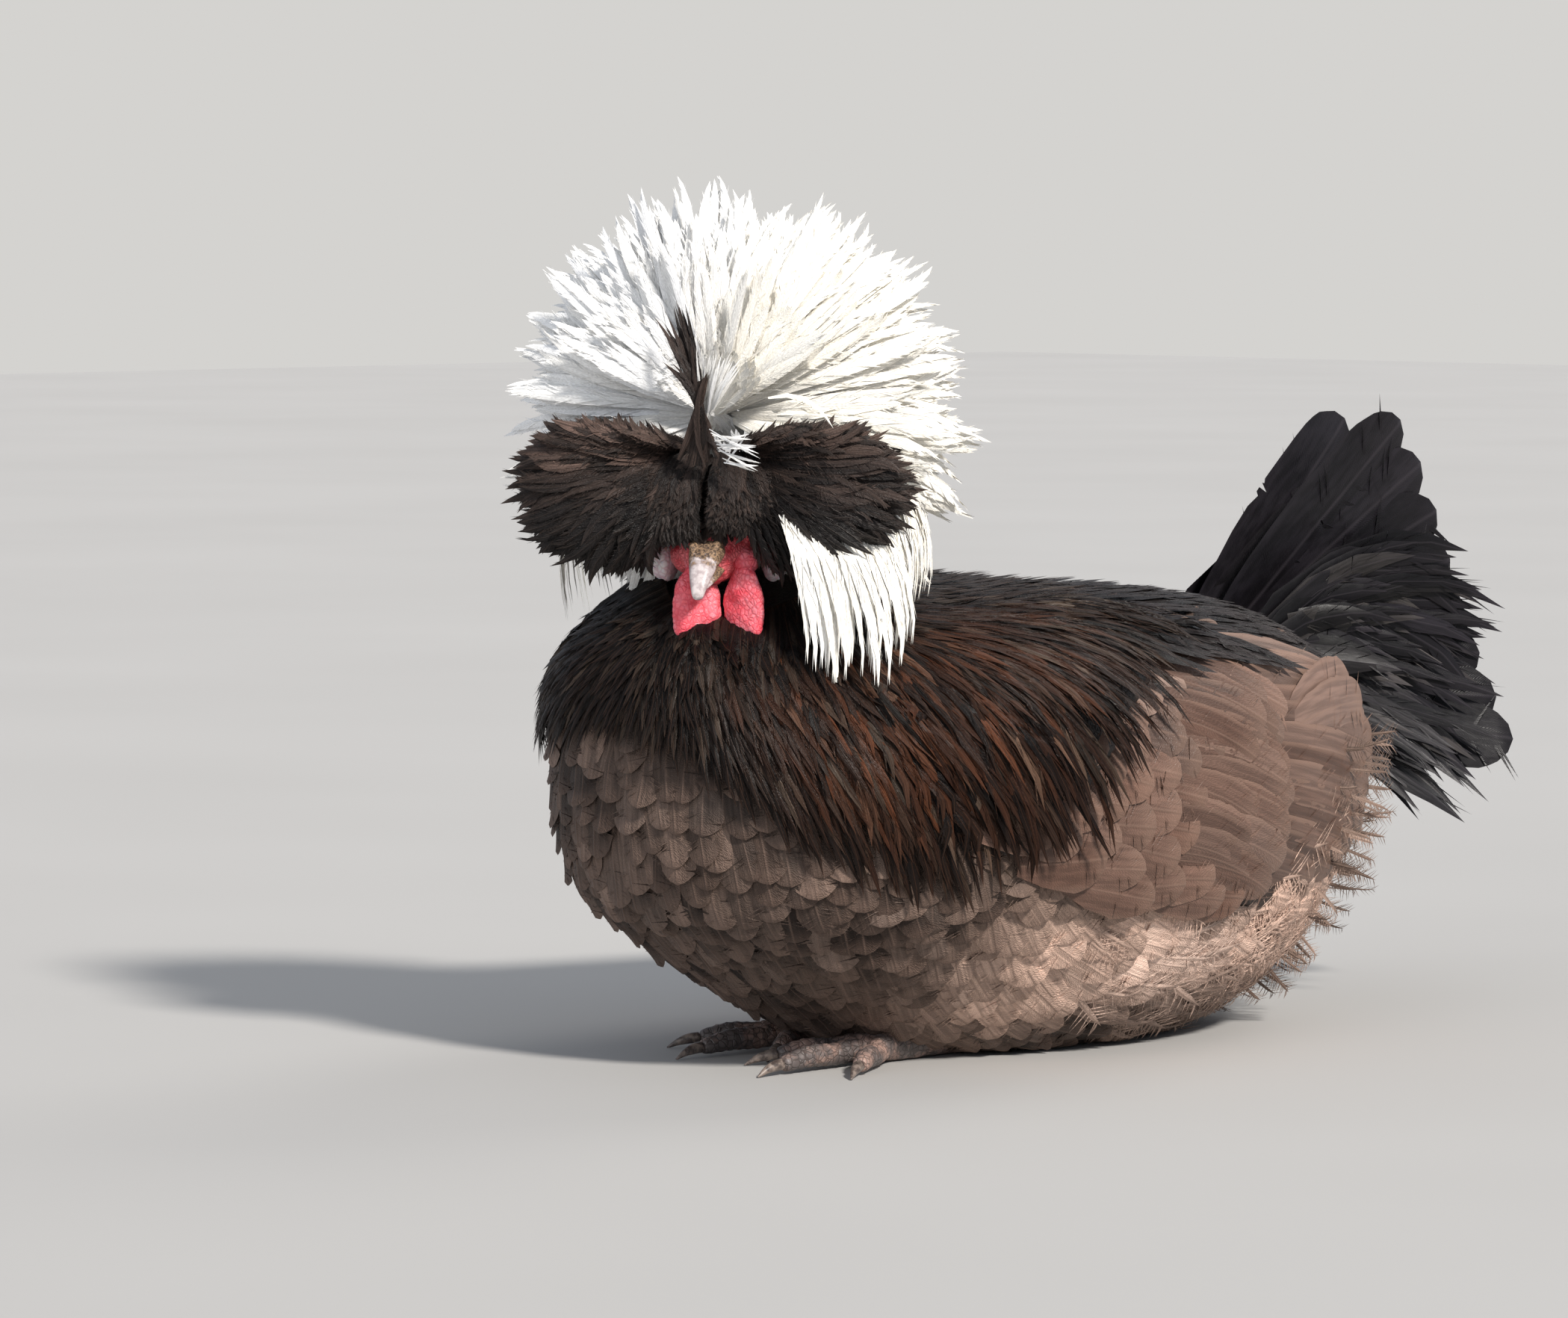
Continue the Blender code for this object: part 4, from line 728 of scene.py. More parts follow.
class Nodes:
    """Short calls for the nodes of a tree, of geometry or of a paint."""

    def __init__(self, tree):
        self.tree = tree

    def put(self, value, socket):
        """Links an output to a socket, or gives the socket a value."""
        if isinstance(value, bpy.types.NodeSocket):
            self.tree.links.new(value, socket)
        elif isinstance(value, tuple) and len(value) == 3 and socket.type == "RGBA":
            socket.default_value = (*value, 1.0)
        else:
            socket.default_value = value

    def add(self, kind, values=None, **settings):
        node = self.tree.nodes.new(kind)
        for key, value in settings.items():
            setattr(node, key, value)
        for key, value in (values or {}).items():
            self.put(value, node.inputs[key])
        return node

    def maths(self, operation, *values):
        return self.add("ShaderNodeMath", dict(enumerate(values)), operation=operation).outputs[0]

    def held(self, name, data_type="FLOAT_VECTOR"):
        node = self.add("GeometryNodeInputNamedAttribute", {"Name": name}, data_type=data_type)
        return node.outputs["Attribute"]

    def vector(self, operation, *values):
        node = self.add("ShaderNodeVectorMath", dict(enumerate(values)), operation=operation)
        return node.outputs["Vector"]

    def scaled(self, vector, factor):
        node = self.add("ShaderNodeVectorMath", {0: vector, "Scale": factor}, operation="SCALE")
        return node.outputs["Vector"]

    def summed(self, *vectors):
        total = vectors[0]
        for more in vectors[1:]:
            total = self.vector("ADD", total, more)
        return total

    def attribute(self, name, output="Fac"):
        node = self.add("ShaderNodeAttribute", attribute_name=name, attribute_type="GEOMETRY")
        return node.outputs[output]

    def look(self):
        """The three numbers of a place's look."""
        return self.add("ShaderNodeSeparateXYZ", {0: self.attribute("look", "Vector")}).outputs

    def here(self):
        return self.add("ShaderNodeTexCoord").outputs["Object"]

    def between(self, value, low, high, start=0.0, end=1.0):
        """A smooth step of a value from low to high."""
        node = self.add("ShaderNodeMapRange", {
            "Value": value, "From Min": low, "From Max": high, "To Min": start, "To Max": end,
        }, interpolation_type="SMOOTHSTEP")
        return node.outputs["Result"]

    def mix(self, share, a, b, kind="MIX"):
        node = self.add("ShaderNodeMix", data_type="RGBA", blend_type=kind)
        for socket, value in zip((node.inputs[0], node.inputs[6], node.inputs[7]), (share, a, b)):
            self.put(value, socket)
        return node.outputs[2]

    def noise(self, scale, detail, rough, place=None):
        values = {"Vector": self.here() if place is None else place, "Scale": scale, "Detail": detail}
        return self.add("ShaderNodeTexNoise", {**values, "Roughness": rough}).outputs["Fac"]

    def cells(self, scale, wide):
        """How far a place is from the seams between cells, 1 past a width."""
        values = {"Vector": self.here(), "Scale": scale}
        node = self.add("ShaderNodeTexVoronoi", values, feature="DISTANCE_TO_EDGE")
        return self.between(node.outputs["Distance"], 0.0, wide)

    def shade_in_creases(self, colour, folds, share, deep):
        """A colour with a darker one in its creases: painted shade."""
        return self.mix(self.maths("MULTIPLY", self.maths("SUBTRACT", 1.0, folds), share), colour, deep)

    def shade(self, shader, colour, rough, height=None, strength=0.5, distance=0.0003):
        """Gives a shader its colour, its roughness and the height that its relief follows."""
        self.put(colour, shader.inputs["Base Color"])
        self.put(rough, shader.inputs["Roughness"])
        if height is not None:
            relief = self.add(
                "ShaderNodeBump", {"Height": height, "Strength": strength, "Distance": distance}
            )
            self.put(relief.outputs[0], shader.inputs["Normal"])


def feather_tree():
    """Feathers on lines: each point's shape is bent along its own line and laid on its own way out."""
    tree = bpy.data.node_groups.new("feathers_on_lines", "GeometryNodeTree")
    made = Nodes(tree)
    sockets = (
        ("Lines", "Geometry"), ("Shapes", "Collection"), ("Paint", "Material"), ("Narrowest", "Float"),
        ("Widest", "Float"), ("Patch", "Float"), ("Seed", "Int"),
    )
    for name, kind in sockets:
        tree.interface.new_socket(name, in_out="INPUT", socket_type=f"NodeSocket{kind}")
    tree.interface.new_socket("Feathers", in_out="OUTPUT", socket_type="NodeSocketGeometry")
    given = made.add("NodeGroupInput").outputs
    shapes = made.add(
        "GeometryNodeCollectionInfo",
        {"Collection": given["Shapes"], "Separate Children": True, "Reset Children": True},
    )
    spread = made.add(
        "FunctionNodeRandomValue",
        {"Min": given["Narrowest"], "Max": given["Widest"], "Seed": given["Seed"]},
        data_type="FLOAT",
    )
    vary = next(s for s in spread.outputs if s.enabled)
    widened = made.add(
        "GeometryNodeStoreNamedAttribute",
        {"Geometry": given["Lines"], "Name": "broad", "Value": made.maths("MULTIPLY", made.held("wide", "FLOAT"), vary)},
        data_type="FLOAT", domain="POINT",
    )
    placed = made.add(
        "GeometryNodeInstanceOnPoints",
        {"Points": widened.outputs[0], "Instance": shapes.outputs[0], "Pick Instance": True,
         "Instance Index": made.held("pick", "INT")},
    )
    real = made.add("GeometryNodeRealizeInstances", {"Geometry": placed.outputs[0]})
    parts = made.add("ShaderNodeSeparateXYZ", {0: made.held("shape")}).outputs
    across, along, height = parts[0], parts[1], parts[2]
    rest = made.maths("SUBTRACT", 1.0, along)
    rest2, along2 = made.maths("MULTIPLY", rest, rest), made.maths("MULTIPLY", along, along)
    both = made.maths("MULTIPLY", rest, along)
    b0, b1, b2, b3 = (made.held(name) for name in ("b0", "b1", "b2", "b3"))
    place = made.summed(
        made.scaled(b0, made.maths("MULTIPLY", rest2, rest)),
        made.scaled(b1, made.maths("MULTIPLY", made.maths("MULTIPLY", rest2, along), 3.0)),
        made.scaled(b2, made.maths("MULTIPLY", made.maths("MULTIPLY", along2, rest), 3.0)),
        made.scaled(b3, made.maths("MULTIPLY", along2, along)),
    )
    ahead = made.vector("NORMALIZE", made.summed(
        made.scaled(made.vector("SUBTRACT", b1, b0), rest2),
        made.scaled(made.vector("SUBTRACT", b2, b1), made.maths("MULTIPLY", both, 2.0)),
        made.scaled(made.vector("SUBTRACT", b3, b2), along2),
    ))
    out = made.summed(made.scaled(made.held("out0"), rest), made.scaled(made.held("out1"), along))
    sideways = made.vector("NORMALIZE", made.vector("CROSS_PRODUCT", ahead, out))
    upwards = made.vector("CROSS_PRODUCT", sideways, ahead)
    wide = made.held("broad", "FLOAT")
    bent = made.summed(
        place,
        made.scaled(sideways, made.maths("MULTIPLY", across, wide)),
        made.scaled(upwards, made.maths("MULTIPLY", height, wide)),
    )
    sides = made.add("ShaderNodeSeparateXYZ", {0: bent}).outputs
    lowest = made.maths("MULTIPLY_ADD", along, 0.0005, FLOOR_CLEAR)
    risen = made.maths("MAXIMUM", sides[2], lowest)
    clear = made.add("ShaderNodeCombineXYZ", {0: sides[0], 1: sides[1], 2: risen}).outputs[0]
    moved = made.add("GeometryNodeSetPosition", {"Geometry": real.outputs[0], "Position": clear})
    centred = made.vector("SUBTRACT", made.held("shape"), (0.0, 0.5, 0.0))
    patch = made.summed(made.held("seat"), made.scaled(centred, given["Patch"]))
    baked_map = made.add(
        "GeometryNodeStoreNamedAttribute", {"Geometry": moved.outputs[0], "Name": "OFBake", "Value": patch},
        data_type="FLOAT2", domain="CORNER",
    )
    vane_map = made.add(
        "GeometryNodeStoreNamedAttribute",
        {"Geometry": baked_map.outputs[0], "Name": "Vane", "Value": made.vector("ADD", made.held("shape"), (0.5, 0.0, 0.0))},
        data_type="FLOAT2", domain="CORNER",
    )
    last = vane_map.outputs[0]
    for name in ("b0", "b1", "b2", "b3", "out0", "out1", "wide", "broad", "pick", "seat", "shape"):
        last = made.add("GeometryNodeRemoveAttribute", {"Geometry": last, "Name": name}).outputs[0]
    painted = made.add("GeometryNodeSetMaterial", {"Geometry": last, "Material": given["Paint"]})
    made.add("NodeGroupOutput", {0: painted.outputs[0]})
    return tree


def socket_key(tree, name):
    return next(item.identifier for item in tree.interface.items_tree if item.name == name)


class Plumage:
    """The feathers of one piece, gathered as lines and then made in one mesh."""

    def __init__(self, name, paint, slot, seed):
        self.name, self.paint, self.slot, self.seed = name, paint, slot, seed
        self.rows = {key: [] for key in ("b0", "b1", "b2", "b3", "out0", "out1", "seat", "look")}
        self.wide, self.pick = [], []

    def add(self, line, out0, out1, wide, kind, number, look, seat):
        """A feather on the Bezier line. Look is (tone, share of the second colour, paleness)."""
        for key, value in zip(("b0", "b1", "b2", "b3"), line):
            self.rows[key].append((value.x, value.y, max(value.z, FLOOR_CLEAR)))
        self.rows["out0"].append(out0)
        self.rows["out1"].append(out1)
        self.rows["seat"].append((0.02 + 0.96 * seat[0], 0.02 + 0.96 * seat[1], 0.0))
        self.rows["look"].append(look)
        self.wide.append(wide)
        self.pick.append(SHAPE_KINDS.index(kind) * SHAPES_OF_A_KIND + number % SHAPES_OF_A_KIND)

    def lay(self, points, outs, wide, kind, number, look, seat):
        """A feather through four places, with the way out at each."""
        self.add(through(*points), outs[0], outs[3], wide, kind, number, look, seat)

    def make(self, replaces=()):
        count = len(self.wide)
        mesh = bpy.data.meshes.new(self.name)
        mesh.vertices.add(count)
        for key, rows in self.rows.items():
            set_vector(mesh, key, [tuple(row) for row in rows])
        set_number(mesh, "wide", self.wide)
        picks = mesh.attributes.new("pick", "INT", "POINT")
        picks.data.foreach_set("value", self.pick)
        obj = link(self.name, mesh)
        step = obj.modifiers.new("feathers", "NODES")
        step.node_group = FEATHERS
        given = {
            "Shapes": SHAPES, "Paint": self.paint, "Narrowest": WIDTH_SPREAD[0], "Widest": WIDTH_SPREAD[1],
            "Patch": PATCH,
            "Seed": self.seed,
        }
        for name, value in given.items():
            step[socket_key(FEATHERS, name)] = value
        baked(obj)
        finish_piece(obj, replaces)


def finish_piece(obj, replaces=()):
    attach(obj, "root")
    if replaces:
        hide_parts(*replaces)


# Paints. Groups put out colours, masks and heights, and each paint has its own shader.

def shader_group(name, inputs, outputs):
    """An empty shader group of numbers: its inputs as (name, value), and its outputs' names."""
    tree = bpy.data.node_groups.new(name, "ShaderNodeTree")
    for label, value in inputs:
        socket = tree.interface.new_socket(label, in_out="INPUT", socket_type="NodeSocketFloat")
        socket.default_value = value
    for label in outputs:
        tree.interface.new_socket(label, in_out="OUTPUT", socket_type="NodeSocketFloat")
    paint = Nodes(tree)
    return paint, paint.add("NodeGroupInput").outputs, paint.add("NodeGroupOutput").inputs


def vane_group():
    """Where a feather's shaft, edge and barbs are, from its own across and along."""
    paint, given, result = shader_group(
        "vane_marks", (("Barbs", 60.0), ("Slant", 0.5), ("Shaft", 0.04)),
        ("Shaft", "Edge", "Tip", "Barb", "Strand"),
    )
    vane = paint.add("ShaderNodeUVMap", uv_map="Vane").outputs[0]
    across, along, _ = paint.add("ShaderNodeSeparateXYZ", {0: vane}).outputs
    off = paint.maths("ABSOLUTE", paint.maths("SUBTRACT", across, 0.5))
    place = paint.maths("SUBTRACT", along, paint.maths("MULTIPLY", off, given["Slant"]))
    wobble = paint.maths("MULTIPLY", paint.noise(9.0, 2.0, 0.5, vane), 5.0)
    wave = paint.maths("ADD", paint.maths("MULTIPLY", place, given["Barbs"]), wobble)
    here = paint.add("ShaderNodeSeparateXYZ", {0: paint.here()}).outputs
    depth = paint.maths("ADD", paint.maths("ADD", here[0], here[1]), here[2])
    aside = paint.add("ShaderNodeCombineXYZ", {
        0: paint.maths("MULTIPLY", across, 11.0), 1: paint.maths("MULTIPLY", along, 1.3),
        2: paint.maths("MULTIPLY", depth, 60.0),
    }).outputs[0]
    marks = {
        "Shaft": paint.between(off, given["Shaft"], 0.0),
        "Edge": paint.between(off, 0.34, 0.49),
        "Tip": paint.between(along, 0.72, 1.0),
        "Barb": paint.maths("MULTIPLY_ADD", paint.maths("SINE", paint.maths("MULTIPLY", wave, 6.2832)), 0.5, 0.5),
        "Strand": paint.between(paint.noise(1.0, 2.0, 0.6, aside), 0.34, 0.66),
    }
    for label, value in marks.items():
        paint.put(value, result[label])
    return paint.tree


def mottle_group():
    """Broad and fine unevenness of a colour over the body, from its place."""
    paint, given, result = shader_group("mottle", (("Broad", 30.0), ("Fine", 400.0)), ("Broad", "Fine"))
    for label, detail in (("Broad", 3.0), ("Fine", 5.0)):
        paint.put(paint.noise(given[label], detail, 0.5), result[label])
    return paint.tree


def new_paint(name):
    made = bpy.data.materials.new(name)
    made.use_nodes = True
    return made, Nodes(made.node_tree), made.node_tree.nodes["Principled BSDF"]


def feather_paint(name, first, second, pale, shaft, barbs, shaft_share, edge_share, rough, sheen, gloss,
                  strands, spread, relief=0.5):
    """Plumage: two colours and a paleness by the feather's look, with its shaft, edge and barbs drawn in."""
    made, paint, shader = new_paint(name)
    tone, share, paleness = paint.look()
    marks = paint.add("ShaderNodeGroup", {"Barbs": barbs}, node_tree=VANE_MARKS).outputs
    mottle = paint.add("ShaderNodeGroup", node_tree=MOTTLE).outputs
    colour = paint.mix(paleness, paint.mix(share, first, second), pale)
    light = paint.maths("MULTIPLY_ADD", tone, spread, 1 - 0.5 * spread)
    for value, depth in ((mottle["Broad"], 0.4), (marks["Barb"], 0.22), (marks["Strand"], strands)):
        light = paint.maths("MULTIPLY", light, paint.maths("MULTIPLY_ADD", value, depth, 1 - 0.5 * depth))
    bright = paint.add("ShaderNodeCombineXYZ", {0: light, 1: light, 2: light}).outputs[0]
    colour = paint.mix(1.0, colour, bright, "MULTIPLY")
    edge = paint.maths("MULTIPLY", paint.maths("MAXIMUM", marks["Edge"], marks["Tip"]), edge_share)
    colour = paint.mix(edge, colour, shaft)
    colour = paint.mix(paint.maths("MULTIPLY", marks["Shaft"], shaft_share), colour, shaft)
    uneven = paint.maths("MULTIPLY_ADD", mottle["Fine"], 0.25, rough - 0.12)
    height = paint.maths("ADD", marks["Barb"], paint.maths("MULTIPLY", marks["Shaft"], 2.0))
    height = paint.maths("ADD", height, marks["Strand"])
    paint.shade(shader, colour, uneven, height, relief, 0.00025)
    shader.inputs["Specular IOR Level"].default_value = gloss
    shader.inputs["Sheen Weight"].default_value = sheen
    shader.inputs["Sheen Roughness"].default_value = 0.45
    return made


def bare_paint(name, deep, light, crease_shade_colour, scale, bump):
    """Bare skin: a mottled colour with fine wrinkles, darker in their creases as painted shade."""
    made, paint, shader = new_paint(name)
    blotch, grain = paint.noise(160.0, 4.0, 0.6), paint.noise(scale, 5.0, 0.6)
    folds = paint.cells(scale * 0.8, 0.22)
    colour = paint.mix(paint.between(blotch, 0.35, 0.68), deep, light)
    height = paint.maths("ADD", folds, paint.maths("MULTIPLY", grain, 0.8))
    rough = paint.maths("MULTIPLY_ADD", grain, 0.3, 0.3)
    # The fold lines, which the relief sinks, take the darker crease colour: painted shade.
    paint.shade(shader, paint.shade_in_creases(colour, folds, 0.45, crease_shade_colour), rough, height, bump)
    shader.inputs["Subsurface Weight"].default_value = 0.3
    shader.inputs["Subsurface Scale"].default_value = 0.002
    return made


def skin_paint():
    """The skin: red on the face, and under the coat as dark or pale as the coat that it carries."""
    made, paint, shader = new_paint("skin")
    face, share, paleness = paint.look()
    blotch = paint.noise(260.0, 4.0, 0.6)
    folds = paint.cells(900.0, 0.25)
    down = paint.mix(share, (0.016, 0.011, 0.009), (0.12, 0.075, 0.056))
    down = paint.mix(paleness, down, (0.55, 0.50, 0.43))
    red = paint.mix(paint.between(blotch, 0.35, 0.65), (0.60, 0.05, 0.07), (0.85, 0.20, 0.22))
    # The red skin's creases, which the relief sinks, are painted darker: painted shade.
    red = paint.shade_in_creases(red, folds, 0.5, (0.25, 0.015, 0.02))
    paint.shade(shader, paint.mix(face, down, red), paint.maths("MULTIPLY_ADD", blotch, 0.3, 0.4), folds)
    return made


def horn_paint():
    """Horn of the beak: bone at the tip, dark and crusted at its root."""
    made, paint, shader = new_paint("horn")
    along = paint.attribute("along")
    streak, crust = paint.noise(420.0, 4.0, 0.65), paint.noise(1400.0, 4.0, 0.7)
    bone = paint.mix(paint.between(streak, 0.4, 0.62), (0.40, 0.33, 0.33), (0.62, 0.55, 0.54))
    dark = paint.mix(paint.between(crust, 0.4, 0.6), (0.05, 0.03, 0.02), (0.30, 0.19, 0.11))
    worn = paint.maths("ADD", along, paint.maths("MULTIPLY_ADD", streak, 0.7, -0.35))
    colour = paint.mix(paint.between(worn, 0.46, 0.64), dark, bone)
    height = paint.maths("MULTIPLY", crust, paint.between(worn, 0.75, 0.2))
    paint.shade(shader, colour, paint.between(worn, 0.2, 0.8, 0.75, 0.32), height, 0.7, 0.0004)
    return made


def claw_paint():
    made, paint, shader = new_paint("claw_horn")
    streak = paint.noise(500.0, 3.0, 0.6)
    colour = paint.mix(paint.between(streak, 0.35, 0.65), (0.06, 0.045, 0.04), (0.24, 0.19, 0.16))
    paint.shade(shader, colour, paint.maths("MULTIPLY_ADD", streak, 0.3, 0.25))
    return made


def leg_paint():
    """Scaled skin of the shanks and toes: slate with pinkish patches, and painted shade in the seams between the
    scales.
    """
    made, paint, shader = new_paint("leg_scales")
    patch = paint.noise(120.0, 4.0, 0.6)
    plate = paint.cells(520.0, 0.12)
    colour = paint.mix(paint.between(patch, 0.42, 0.62), (0.11, 0.09, 0.085), (0.34, 0.22, 0.18))
    # The seams between the scales, which the relief sinks, are painted darker: painted shade.
    colour = paint.shade_in_creases(colour, plate, 0.6, (0.05, 0.04, 0.035))
    paint.shade(shader, colour, paint.maths("MULTIPLY_ADD", patch, 0.3, 0.35), plate, 0.6, 0.0004)
    return made


def eye_paint():
    """A dark pupil in an orange-red iris under a wet surface."""
    made, paint, shader = new_paint("eye")
    ring = paint.attribute("ring")
    fleck = paint.noise(2500.0, 3.0, 0.6)
    iris = paint.mix(paint.between(fleck, 0.35, 0.65), (0.42, 0.10, 0.02), (0.70, 0.26, 0.05))
    iris = paint.mix(paint.between(ring, 50.0, 62.0), iris, (0.03, 0.015, 0.01))
    paint.shade(shader, paint.mix(paint.between(ring, 24.0, 27.0), (0.004, 0.004, 0.004), iris), 0.08)
    shader.inputs["Coat Weight"].default_value = 0.6
    shader.inputs["Coat Roughness"].default_value = 0.03
    return made


def floor_paint():
    made, paint, shader = new_paint("floor")
    paint.shade(
        shader, paint.mix(paint.noise(3.0, 2.0, 0.5), (0.415, 0.405, 0.39), (0.465, 0.455, 0.44)), 0.85
    )
    return made


# Where feathers grow, which way they lie and what colour they have.

def coat_tint(place):
    """The body coat's share of tan and its paleness at a place."""
    low = 1 - smooth(0.048, 0.070, place.z)
    tan = smooth(-0.078, -0.030, place.y) * low * smooth(0.012, 0.030, place.z + 0.12 * max(0.0, place.y))
    spot = math.exp(-((place.y - 0.012) / 0.034) ** 2 - ((place.z - 0.030) / 0.013) ** 2)
    side = smooth(0.030, 0.055, abs(place.x))
    vent = smooth(0.085, 0.115, place.y) * low
    front = 0.12 * smooth(-0.6, 0.8, noise.noise(place * 45))
    return min(1.0, 0.04 + 0.90 * tan + front), min(1.0, 0.62 * spot * side + 0.12 * vent)


def coat_flow(place, out):
    """The way the body coat lies: down the breast, back along the flanks."""
    fall = blend(1.05, 0.22, smooth(-0.110, 0.020, place.y)) * (1 - smooth(0.100, 0.122, place.z))
    fall *= smooth(0.0, 0.030, place.z)
    way = Vector((0.0, 1.0 - 0.75 * smooth(0.0, 1.0, fall), -fall))
    return (way - out * way.dot(out)).normalized()


def spots(tries, spacing, draw, allowed):
    """Evenly spread places on the torso: (place, way out, seat on its unwrap)."""
    cells, found = {}, []
    for _ in range(tries):
        t = draw.uniform(-0.99999, 0.9995)
        s, phi = math.acos(-t) / math.pi, draw.uniform(-180, 180)
        place = torso_point(s, phi)
        if place.z < 0.0008 or not allowed(place):
            continue
        room = spacing(place)
        key = tuple(int(math.floor(c / 0.012)) for c in place)
        near = (
            other
            for dx in (-1, 0, 1) for dy in (-1, 0, 1) for dz in (-1, 0, 1)
            for other in cells.get((key[0] + dx, key[1] + dy, key[2] + dz), ())
        )
        if any((other - place).length < room for other in near):
            continue
        cells.setdefault(key, []).append(place)
        found.append((place, torso_out(s, phi), (0.5 + phi / 360, s)))
    return found


def under_wing(place):
    """Whether the folded wing hides a place on the flank."""
    if not WING_FRONT_Y + 0.012 < place.y < WING_REAR_Y - 0.018:
        return False
    low, high = curve_through(WING_BOTTOM, place.y) + 0.010, curve_through(WING_TOP, place.y) - 0.008
    return low < place.z < high and abs(place.x) > 0.03


def under_hackles(place):
    """Whether the neck's hackles hide a place on the breast, the shoulders or the back."""
    way = place - BODY_CORE
    high = math.degrees(math.asin(way.z / way.length))
    degrees = math.degrees(math.atan2(way.x, -way.y))
    return high > curve_through(FRINGE, degrees) + 22


def on_rump(place):
    """Whether the loose feathers round the vent grow at a place."""
    return place.y > 0.088 and place.z < 0.085


def body_feather(carrier, plumage, place, way, long, wide, lifts, kind, number, look, seat):
    """A feather laid on the torso along a way, raised by lifts at its root, its thirds and its tip."""
    points, outs = [], []
    for k in range(4):
        ground, out = carrier.on_body(place + way * long * k / 3)
        points.append(ground + out * lifts[k])
        outs.append(out)
    plumage.lay(points, outs, wide, kind, number, look, seat)


def grow_body_coat(carrier):
    """Rounded feathers like scales on the breast, looser ones on the flanks, and down at the vent."""
    draw = random.Random(101)
    coats = {
        "breast": Plumage("breast_feathers", PAINT_BROWN, "brown_plume", 1),
        "flank": Plumage("flank_feathers", PAINT_BROWN, "brown_plume", 2),
        "back": Plumage("back_feathers", PAINT_BROWN, "brown_plume", 3),
    }

    def allowed(place):
        return not under_wing(place) and not under_hackles(place)

    def spacing(place):
        return blend(0.0060, 0.0072, smooth(-0.06, 0.04, place.y))

    for place, out, seat in spots(BODY_TRIES, spacing, draw, allowed):
        share, pale = coat_tint(place)
        loose = smooth(-0.02, 0.05, place.y) * (1 - smooth(0.060, 0.085, place.z))
        way = turned(coat_flow(place, out), out, draw.gauss(0, 5 + 6 * loose))
        long = blend(0.027, 0.034, loose) * draw.uniform(0.9, 1.12)
        wide = blend(0.0138, 0.0170, loose) * draw.uniform(0.88, 1.1)
        stand = 0.0024 + draw.random() ** 3 * 0.0022
        lifts = (-0.0022, 0.0002, 0.0016, stand)
        key = "back" if place.z > 0.10 else "breast" if place.y < -0.03 else "flank"
        look = (
            draw.random(), min(1.0, max(0.0, share + draw.gauss(0, 0.08))),
            max(0.0, pale + draw.gauss(0, 0.05))
        )
        body_feather(
            carrier, coats[key], place, way, long, wide, lifts, "contour", draw.randrange(4), look, seat
        )
        for _ in range(2 if draw.random() < 0.7 * loose else 0):
            look = (draw.random(), min(1.0, share + 0.1), min(1.0, pale + 0.15 * draw.random()))
            lifts = (-0.0010, 0.0014, 0.0030, 0.0030 + 0.0022 * draw.random())
            away = turned(way, out, draw.gauss(0, 14))
            body_feather(
                carrier, coats[key], place, away, long * 0.95, wide * 1.1, lifts, "fluff",
                draw.randrange(4), look, seat
            )
    for place, out, seat in spots(RUMP_TRIES, lambda place: RUMP_SPACING, draw, on_rump):
        way = (out * 0.55 + Vector((place.x * 4, 1.0, -0.25)) * 0.6).normalized()
        long = draw.uniform(0.012, 0.019) * smooth(0.065, 0.105, place.y)
        side = way.cross(out).normalized()
        tip = place + way * long + side * draw.gauss(0, 0.004)
        line = (
            place - out * 0.003, blend(place, tip, 0.35) + out * 0.002,
            blend(place, tip, 0.7) + out * 0.0015, tip
        )
        look = (draw.random(), draw.uniform(0.15, 0.50), 0.10 * draw.random() ** 2)
        wide = draw.uniform(0.007, 0.011)
        coats["flank"].add(line, out, out, wide, "fluff", draw.randrange(4), look, seat)
    for coat in coats.values():
        coat.make()


# The neck.

def neck_lines(carrier):
    """The hackles' lines at every degree, and how long each is."""
    lines = [neck_line(carrier, degrees) for degrees in range(-180, 181)]
    lengths = [
        sum((bezier(line, (k + 1) / 8) - bezier(line, k / 8)).length for k in range(8)) for line in lines
    ]
    return lines, lengths


def on_neck(lines, degrees, t):
    """A place on the hackles' surface."""
    degrees = (degrees + 180) % 360
    k = min(359, int(degrees))
    return bezier(lines[k], t).lerp(bezier(lines[k + 1], t), degrees - k)


def hackle_line(lines, degrees, start, end, lifts, swirl):
    """On-curve places and ways out of a hackle between two shares of the neck's line."""
    points, outs = [], []
    for k in range(4):
        t, turn = start + (end - start) * k / 3, degrees + swirl * (0.5 - k / 3)
        place = on_neck(lines, turn, t)
        ahead = on_neck(lines, turn, t + 0.02) - on_neck(lines, turn, t - 0.02)
        out = ahead.cross(on_neck(lines, turn + 2, t) - place).normalized()
        if out.dot(place - BODY_CORE) < 0:
            out = -out
        points.append(place + out * lifts[k])
        outs.append(out)
    return points, outs


